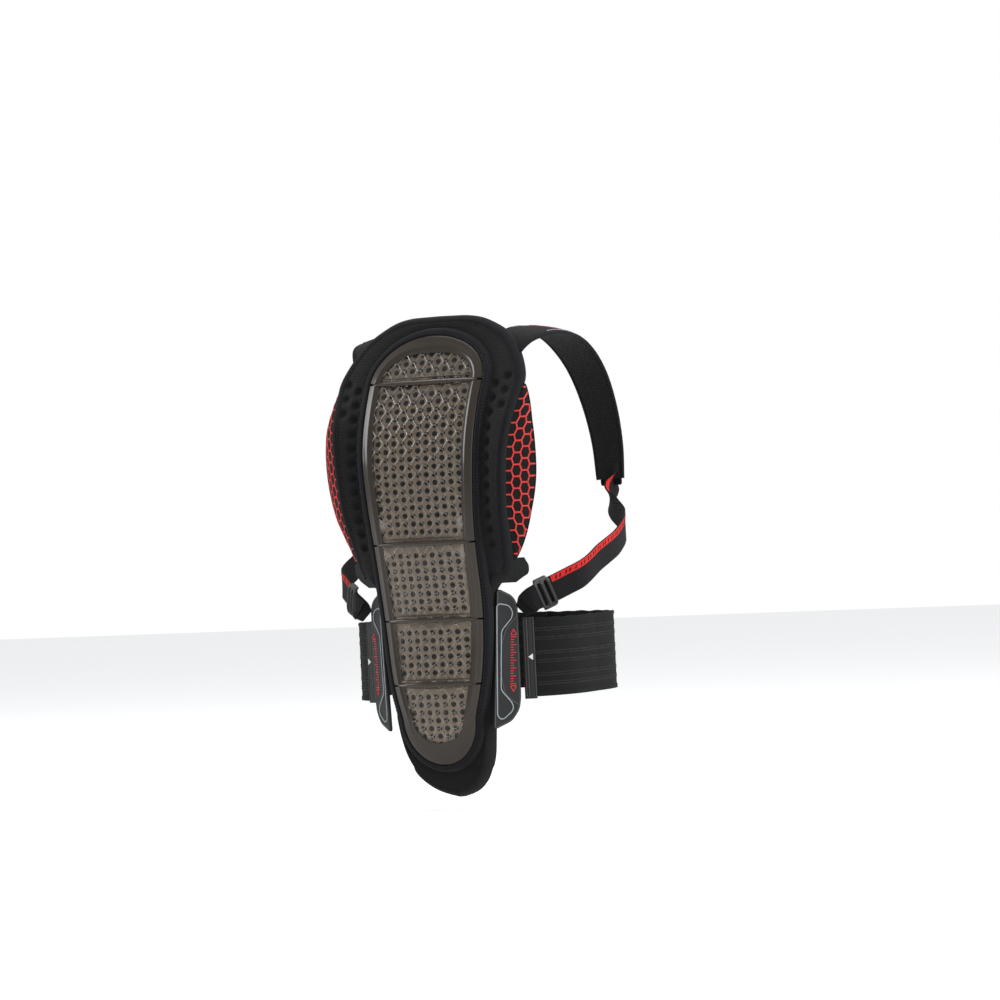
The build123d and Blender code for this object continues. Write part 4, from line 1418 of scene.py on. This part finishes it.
def belt_pieces():
    plain = lambda arc, z: np.full_like(z, 0.3)
    verts, faces, uv = belt_sheet(STRIP_ANGLES, 0.6, (103.0, 188.5), 2.0, strip_face, plain)
    start, end = arc_at(STRIP_ANGLES)
    dots, rungs = [], []
    for arc, length, group in (
        (start + 2.0, 1.2, rungs), (start + 3.4, 1.5, dots), (start + 4.8, 1.2, rungs),
        (end - 2.4, 1.7, dots), (end - 1.0, 1.0, rungs),
    ):
        angle = float(angle_at(arc))
        for z in np.arange(106.0, 186.0, 2.9):
            line = round_trunk(np.full(4, angle), *WAIST_SIZE, 3.2, z + BEAD_SHARES * length)
            out = line[0] - round_trunk(angle, *WAIST_SIZE, 0.0, z)
            group.append(bead(line, out, [0.6, 1, 1, 0.6], 0.75 if group is dots else 0.42))
    all_verts, all_faces = join_parts([(verts, faces)] + rungs + dots)
    extra = all_verts[len(verts):][:, [0, 2]]
    order = np.arange(len(all_faces))
    slots = np.where(order < len(faces), 0, np.where(order < len(faces) + face_count(rungs), 1, 2))
    looks = [MAT["rubber"], MAT["rung"], MAT["under"]]
    uv = np.concatenate([uv, extra])
    pair("belt_end_strip", all_verts, all_faces, looks, "belt_carrier_{side}", slots, uv)

    tip, tail = arc_at(POINTER_ANGLES)
    arrow = rounded([(tip, 147.0), (tail, 143.6), (tail, 150.4)], 0.4, 3)

    def on_strip(arc, z, out):
        return round_trunk(angle_at(arc), *WAIST_SIZE, STRIP_OUT + out, z)

    verts, faces, _ = relief(arrow, [(0, -0.2), (0, 0.6)], on_strip)
    pair("belt_pointer", verts, faces, MAT["white"], "belt_carrier_{side}")

    for side, lap in (("right", BELT_LAP), ("left", 0.0)):
        verts, faces, uv = belt_sheet(ELASTIC_ANGLES, 2.6, (BELT_FOOT, wavy_top), 0.6, belt_face, plain, lap)
        if side == "left":
            verts = verts * [-1, 1, 1]
            faces = [f[::-1] for f in faces]
        middle = np.array([uv[list(f)][:, 1].mean() for f in faces])
        slots = np.where((middle < 109.4) | (middle > 183.4), 1, 0)
        for height in RIDGE_HEIGHTS:
            slots[np.abs(np.abs(middle - height) - RIDGE_SHIFT) < 0.45] = 2
        looks = [MAT["belt"], MAT["hem"], MAT["ridge"]]
        piece = new_piece(f"belt_{side}", verts, faces, looks, slots=slots, uv=uv)
        nodes = [f"belt_elastic_{side}", f"belt_front_{side}"]
        if side == "right":
            pivot = np.array(JOINT["belt_open"]["pos_m"])
            reach = np.array([0, 0.009, 0])
            bend = ("belt_carrier_right", "belt_flap", tuple(pivot - reach), tuple(pivot + reach))
            attach(piece, bend=bend, nodes=nodes)
        else:
            attach(piece, "belt_carrier_left", nodes=nodes)

    bumps = lambda arc, z: 0.35 * np.abs(np.sin(arc * 1.6) * np.sin(z * 1.6))
    patch = (PATCH_ANGLES, 0.7, PATCH_HEIGHTS, 0.9)
    verts, faces, uv = belt_sheet(*patch, lambda a, z: 4.0 + bumps(a, z), lambda a, z: np.full_like(z, 2.6))
    piece = new_piece("closure_loop", verts * [-1, 1, 1], [f[::-1] for f in faces], MAT["loop"], uv=uv)
    attach(piece, "belt_carrier_left", nodes=["closure_loop_patch"])
    verts, faces, uv = belt_sheet(
        *patch, lambda a, z: np.full_like(z, 0.4), lambda a, z: -0.8 - bumps(a, z), BELT_LAP
    )
    piece = new_piece("closure_hook", verts, faces, MAT["hook"], uv=uv)
    attach(piece, "belt_flap", nodes=["closure_hook_patch"])


# ================================================================ straps
CHEST_Z = [190, 212, 250, 300, 520]
CHEST_WIDTH = [129, 131, 140, 150, 150]
CHEST_DEPTH = [107, 108, 112, 118, 118]


def on_trunk(angle, z, offset):
    width, depth = (float(np.interp(z, CHEST_Z, sizes)) for sizes in (CHEST_WIDTH, CHEST_DEPTH))
    return round_trunk(angle, width, depth, offset, z)


STRAP_START = on_trunk(46.5, 207.0, 10.5)
STRAP_END = on_trunk(66.0, 229.0, 10.5)
STRAP_ALONG = (STRAP_END - STRAP_START) / np.linalg.norm(STRAP_END - STRAP_START)
BUCKLE_AT = STRAP_START + STRAP_ALONG * 18.0


def upward(curve):
    return np.repeat([[0, 0, 1.0]], len(curve), 0)


def smooth_path(points, step=2.5):
    """Even row of points on a smooth curve through the given ones, then the distances along it of both rows."""
    points = np.asarray(points, float)
    knots = running_length(points)
    at = np.linspace(0, knots[-1], int(knots[-1] / step) + 1)
    curve = np.stack([spline_through(knots, points[:, k], at) for k in range(3)], 1)
    return curve, at, knots


def strap_axes(curve, across):
    """Directions along a curve and across it, at each of its points."""
    along = unit_rows(np.gradient(curve, axis=0))
    return along, unit_rows(across - along * np.sum(across * along, axis=1)[:, None])


def strap_sheet(curve, at, widths, across, section, swell=None):
    """Closed strap along a curve. section holds (share of the half width, height) points round its edge."""
    swell = np.ones(len(curve)) if swell is None else swell
    along, side = strap_axes(curve, across)
    out = np.cross(along, side)
    section = np.asarray(section, float)
    rings = (
        curve[:, None] + side[:, None] * (section[None, :, 0] * np.asarray(widths)[:, None] / 2)[..., None]
        + out[:, None] * (section[None, :, 1] * swell[:, None])[..., None]
    )
    verts, faces = tube(rings)
    sheet = np.stack(np.broadcast_arrays(at[:, None], section[None, :, 0] * 14), -1).reshape(-1, 2)
    return verts, faces, sheet, out


FLAT_COUNT = 13


def flat_section(thickness):
    """Outline of flat webbing: both faces and rounded selvedges."""
    shares = np.linspace(-0.95, 0.95, FLAT_COUNT)
    face = [(s, thickness / 2) for s in shares]
    back = [(s, -thickness / 2) for s in shares[::-1]]
    return face + [(1.0, 0.0)] + back + [(-1.0, 0.0)]


SIDE_PATH = [STRAP_START + STRAP_ALONG * d for d in (12.0, 30.0, 48.0)] + [STRAP_END] + [
    on_trunk(84, 248.0, 6), on_trunk(104, 265.0, 5), on_trunk(121, 283.0, 5), on_trunk(134, 308.0, 5),
    np.array([108.0, 114.5, 330.0]), np.array([106.0, 116.5, 346.0]),
]


STRIPE_START = 17


def side_strap_pieces():
    curve, at, knots = smooth_path(SIDE_PATH)
    across = upward(curve)
    widths = np.interp(at, [0, knots[-3], knots[-1]], [28, 28, 27])
    verts, faces, sheet, out = strap_sheet(curve, at, widths, across, flat_section(2.2))
    middle = len(out) // 2
    sign = 1 if out[middle] @ (curve[middle] * [1, 1, 0]) > 0 else -1
    count = 2 * FLAT_COUNT + 2
    stripe = range(9, 13) if sign > 0 else range(14, 18)

    def in_stripe(face):
        return all(v % count in stripe for v in face) and at[min(v // count for v in face)] > STRIPE_START

    slots = [1 if len(face) == 4 and in_stripe(face) else 0 for face in faces]
    looks = [MAT["webbing"], MAT["red_webbing"]]
    pair("side_strap", verts, faces, looks, "upper_back", slots, sheet)
    marks = []
    frames = unit_rows(np.gradient(curve, axis=0))
    for start in np.arange(22.0, at[-1] - 40, 6.4):
        index = int(np.argmin(np.abs(at - start)))
        along, base = frames[index], curve[index]
        side = np.array([0, 0, 1.0]) - along * along[2]
        side /= np.linalg.norm(side)
        face_out = out[index] * sign
        line = [base + side * (8.0 + 3.6 * t) + along * (2.4 * t) + face_out * 1.2 for t in BEAD_SHARES]
        marks.append(bead(line, face_out, [0.6, 1, 1, 0.6], 0.85, 0.35))
    verts, faces = join_parts(marks)
    pair("side_strap_marks", verts, faces, MAT["webbing"], "upper_back", stands=False)


def buckle_pieces():
    up = np.array([0, 0, 1.0]) - STRAP_ALONG * STRAP_ALONG[2]
    up /= np.linalg.norm(up)
    out = -np.cross(up, STRAP_ALONG)
    if out @ (BUCKLE_AT * [1, 1, 0]) < 0:
        out = -out

    def on_buckle(u, v, w):
        lean = np.where(w > 0, 0.10 * u, 0)
        return BUCKLE_AT + u[:, None] * STRAP_ALONG + v[:, None] * up + (w + lean)[:, None] * out

    outline = rounded([(-10, -16), (8.5, -17), (8.5, 16), (-10, 17)], 5.5, 5)
    slit = np.array([(-1.8, -12.6), (1.8, -12.6), (1.8, 12.6), (-1.8, 12.6)])
    holes = [rounded(slit + [centre, 0], 1.2, 3) for centre in (-4.8, 3.4)]
    parts = [cut_sheet(outline, holes, 0, on_buckle, 1.5, 3.0)]
    rim = inset_loop(outline, 1.4)
    parts.append(closed_rod(on_buckle(rim[:, 0], rim[:, 1], np.full(len(rim), 2.9)), 1.5, 0.8, out))
    for v in (-15.9, 15.9):
        line = on_buckle(np.linspace(-8.0, 6.5, 9), np.full(9, v), np.full(9, 0.2))
        parts.append(bead(line, out, [0.6] + [1] * 7 + [0.6], 1.5, 1.9))
    line = on_buckle(np.full(9, -0.7), np.linspace(-16, 16, 9), np.full(9, -2.4))
    parts.append(bead(line, out, [0.8] + [1] * 7 + [0.8], 1.6, 0.6))
    bars = []
    for u in (-8.0, -0.7, 6.6):
        line = on_buckle(np.full(9, u), np.linspace(-14, 14, 9), np.full(9, 3.2))
        bars.append(bead(line, out, [0.6] + [1] * 7 + [0.6], 2.1, 0.8))
    verts, faces = join_parts(parts + bars)
    middle = np.array([verts[list(face)].mean(axis=0) for face in faces]) - BUCKLE_AT
    slots = np.where(middle @ up > 11.0, 1, 0)
    pair("ladder_buckle", verts, faces, [MAT["buckle"], MAT["rim"]], "buckle_{side}", slots)


def anchor_pieces():
    """Folded webbing from the plate's top corner to the buckle's rear bar."""
    low = on_trunk(42.6, 196.0, 7.6)
    path = [low, on_trunk(44.6, 202.0, 9.6), STRAP_START + STRAP_ALONG * 2.0, STRAP_START + STRAP_ALONG * 8.6]
    curve, at, knots = smooth_path(path, 1.5)
    across = upward(curve)
    widths = np.interp(at, [0, knots[1], knots[-1]], [16, 24, 27])
    verts, faces, sheet, out = strap_sheet(curve, at, widths, across, flat_section(2.0))
    outward = out[-1] * (1 if out[-1] @ (curve[-1] * [1, 1, 0]) > 0 else -1)
    second = [p + outward * 2.3 for p in (path[1], path[2], path[3])]
    upper, upper_at, _ = smooth_path(second, 1.5)
    fold = strap_sheet(upper, upper_at, np.full(len(upper), 25.0), upward(upper), flat_section(1.6))
    verts, faces = join_parts([(verts, faces), fold[:2]])
    sheet = np.concatenate([sheet, fold[2]])
    bend = ("mid_back", "upper_back", tuple(low * MM), tuple((STRAP_START + STRAP_ALONG * 7.0) * MM))
    pair("strap_anchor", verts, faces, MAT["webbing"], None, uv=sheet, bend=bend)


SHOULDER_PATH = [
    (82, -96, 462), (85, -78, 480), (88, -45, 490), (92, -5, 491), (96, 35, 480),
    (100, 74, 452), (103, 101, 410), (105, 113, 368), (106, 114, 330),
]
SHOULDER_WIDTHS = [22, 36, 48, 52, 50, 44, 38, 33, 29]
CROWN = 2.6
NET_MARGIN, NET_START = 5.5, 84
PATCH_LEVELS = [(0, -2.5), (0, 0.6), (0.5, 1.0), (2.4, 1.0), (2.7, 0.7), (3.2, 0.7), (3.5, 1.0)]


def shoulder_pieces():
    curve, at, knots = smooth_path(SHOULDER_PATH, 2.0)
    widths = spline_through(knots, SHOULDER_WIDTHS, at)
    across = np.repeat([[1.0, 0, -0.15]], len(curve), 0)
    pad = [(s, 1.2 + 3.2 * (1 - abs(s) ** CROWN)) for s in np.linspace(-0.9, 0.9, 19)]
    back = [(s, -1.4 - 1.4 * (1 - abs(s) ** CROWN)) for s in np.linspace(0.9, -0.9, 11)]
    section = pad + [(1.0, 0.6), (1.0, -0.8)] + back + [(-1.0, -0.8), (-1.0, 0.6)]
    swell = np.clip(at / 50, 0.2, 1)
    verts, faces, sheet, out = strap_sheet(curve, at, widths, across, section, swell)
    if out[len(out) // 3][2] < 0:
        section = [(s, -h) for s, h in section][::-1]
        verts, faces, sheet, out = strap_sheet(curve, at, widths, across, section, swell)
        out = -out
    along, side = strap_axes(curve, across)
    edges, pipings = [], []
    for sign in (-1, 1):
        line = curve + side * (sign * widths / 2)[:, None] + out * -0.1
        edges.append(rod(line[6:], 2.1))
        line = curve + side * (sign * (widths / 2 - 3.6))[:, None] + out * 2.6
        pipings.append(rod(line[32:-6], 0.6, 6))
    net = []
    half_at = lambda v: np.interp(v, at, widths) / 2
    for line in net_lines(range(-3, 4), range(4, 30), 0, 0, 5):
        room = half_at(line[:, 1]) - NET_MARGIN
        keep = (np.abs(line[:, 0]) < room) & (line[:, 1] > NET_START) & (line[:, 1] < at[-1] - 16)
        line = line[keep]
        if len(line) >= 2:
            height = 1.3 + 3.2 * (1 - np.abs(line[:, 0] / half_at(line[:, 1])) ** CROWN)
            base, away, up = (
                np.stack([np.interp(line[:, 1], at, rows[:, k]) for k in range(3)], 1)
                for rows in (curve, side, out)
            )
            points = base + away * line[:, :1] + up * height[:, None]
            net.append(bead(points, up[0], np.ones(len(points)), 0.8, 0.6))
    groups = [[(verts, faces)], edges, pipings, net]
    verts, faces = join_parts([item for group in groups for item in group])
    slots = np.concatenate([np.full(face_count(group), index) for index, group in enumerate(groups)])
    extra = verts[len(sheet):][:, [0, 1]]
    bend = ("cap", "upper_back", (0, -0.078, 0), (0, -0.022, 0))
    looks = [MAT["strap"], MAT["tape"], MAT["silver"], MAT["net"]]
    pair("shoulder_strap", verts, faces, looks, None, slots, np.concatenate([sheet, extra]), bend)

    patch = rounded([(-12, -13), (12, -13), (12, 13), (-12, 13)], 3, 4)
    centre, face_out, run, wide = curve[-4], out[-4], along[-4], side[-4]

    def on_patch(u, v, w):
        return centre + u[:, None] * wide + v[:, None] * run + (w + 3.0)[:, None] * face_out

    verts, faces, _ = relief(patch, PATCH_LEVELS, on_patch)
    pair("strap_patch", verts, faces, MAT["tape"], "upper_back", uv=verts[:, [0, 2]], stands=False)


# ================================================================ the pieces
foam_pieces()
window_pieces()
frame_pieces()
rib_pieces()
cover_pieces()
liner_pieces()
binding_pieces()
edge_tape_pieces()
wing_pieces()
panel_pieces()
plate_pieces()
belt_pieces()
side_strap_pieces()
buckle_pieces()
anchor_pieces()
shoulder_pieces()


# ================================================================ light, floor and camera
VIEW_AZIMUTH, VIEW_ROLL = math.radians(25), math.radians(2.8)
VIEW_DISTANCE, LENS, SENSOR_WIDTH = 4.5, 150, 36
VIEW_TARGET = Vector((0.0203, 0.0095, 0.313))
FLOOR_HALF, FLOOR_DROP = 6, 0.012


def aim(thing, place, target):
    """Places a light or the camera and points it at a target."""
    thing.location = place
    thing.rotation_euler = (Vector(target) - Vector(place)).to_track_quat("-Z", "Y").to_euler()


def area_light(name, place, target, size, power):
    data = bpy.data.lights.new(name, "AREA")
    data.shape = "RECTANGLE"
    data.size, data.size_y = size
    data.energy = power
    light = bpy.data.objects.new(name, data)
    bpy.context.scene.collection.objects.link(light)
    aim(light, place, target)


def stage_scene():
    scene = bpy.context.scene
    world = bpy.data.worlds.new("studio")
    world.use_nodes = True
    nodes, links = world.node_tree.nodes, world.node_tree.links
    seen, lit = nodes["Background"], nodes.new("ShaderNodeBackground")
    seen.inputs[0].default_value = (1, 1, 1, 1)
    lit.inputs[0].default_value = (0.93, 0.95, 0.97, 1)
    lit.inputs[1].default_value = 0.42
    chooser, path = nodes.new("ShaderNodeMixShader"), nodes.new("ShaderNodeLightPath")
    links.new(path.outputs["Is Camera Ray"], chooser.inputs[0])
    links.new(lit.outputs[0], chooser.inputs[1])
    links.new(seen.outputs[0], chooser.inputs[2])
    links.new(chooser.outputs[0], nodes["World Output"].inputs[0])
    scene.world = world
    scene.view_settings.view_transform = "Standard"

    plain = Shader("floor")
    tone = plain.mix(plain.noise(3.0), (0.86, 0.86, 0.86, 1), (0.9, 0.9, 0.9, 1))
    floor_mesh = bpy.data.meshes.new("floor")
    low = CAD_BOX[0][2] - FLOOR_DROP
    corners = [(x * FLOOR_HALF, y * FLOOR_HALF, low) for x, y in ((-1, -1), (1, -1), (1, 1), (-1, 1))]
    floor_mesh.from_pydata(corners, [], [(0, 1, 2, 3)])
    seen_only = plain.add("ShaderNodeLightPath").outputs["Is Camera Ray"]
    glow = {"Emission Color": (1, 1, 1, 1), "Emission Strength": plain.math("MULTIPLY", seen_only, 0.5)}
    floor_mesh.materials.append(plain.surface(tone, 0.9, **glow))
    floor = bpy.data.objects.new("floor", floor_mesh)
    scene.collection.objects.link(floor)

    towards = Vector((math.sin(VIEW_AZIMUTH), -math.cos(VIEW_AZIMUTH), 0))
    right = Vector((math.cos(VIEW_AZIMUTH), math.sin(VIEW_AZIMUTH), 0))
    target = VIEW_TARGET
    up = Vector((0, 0, 1))
    area_light("key", target + Vector((-2.2, -0.8, 1.0)), target, (1.2, 1.6), 28)
    area_light("fill", target + Vector((1.9, -1.25, 0.35)), target, (1.2, 1.8), 10)
    beside = target + towards * 0.45 + right * 1.25 + up * 0.45
    area_light("strip", beside, target + up * 0.08, (0.2, 1.5), 13)
    area_light("top", target + up * 2.0 - towards * 0.5, target, (1.6, 1.2), 14)

    data = bpy.data.cameras.new("camera")
    data.lens = LENS
    data.sensor_width = SENSOR_WIDTH
    data.clip_end = 50
    camera = bpy.data.objects.new("camera", data)
    scene.collection.objects.link(camera)
    place = target + towards * VIEW_DISTANCE
    lean = up * math.cos(VIEW_ROLL) + right * math.sin(VIEW_ROLL)
    side = lean.cross(towards).normalized()
    camera.matrix_world = Matrix((
        (side.x, lean.x, towards.x, place.x),
        (side.y, lean.y, towards.y, place.y),
        (side.z, lean.z, towards.z, place.z),
        (0, 0, 0, 1),
    ))
    scene.camera = camera


stage_scene()
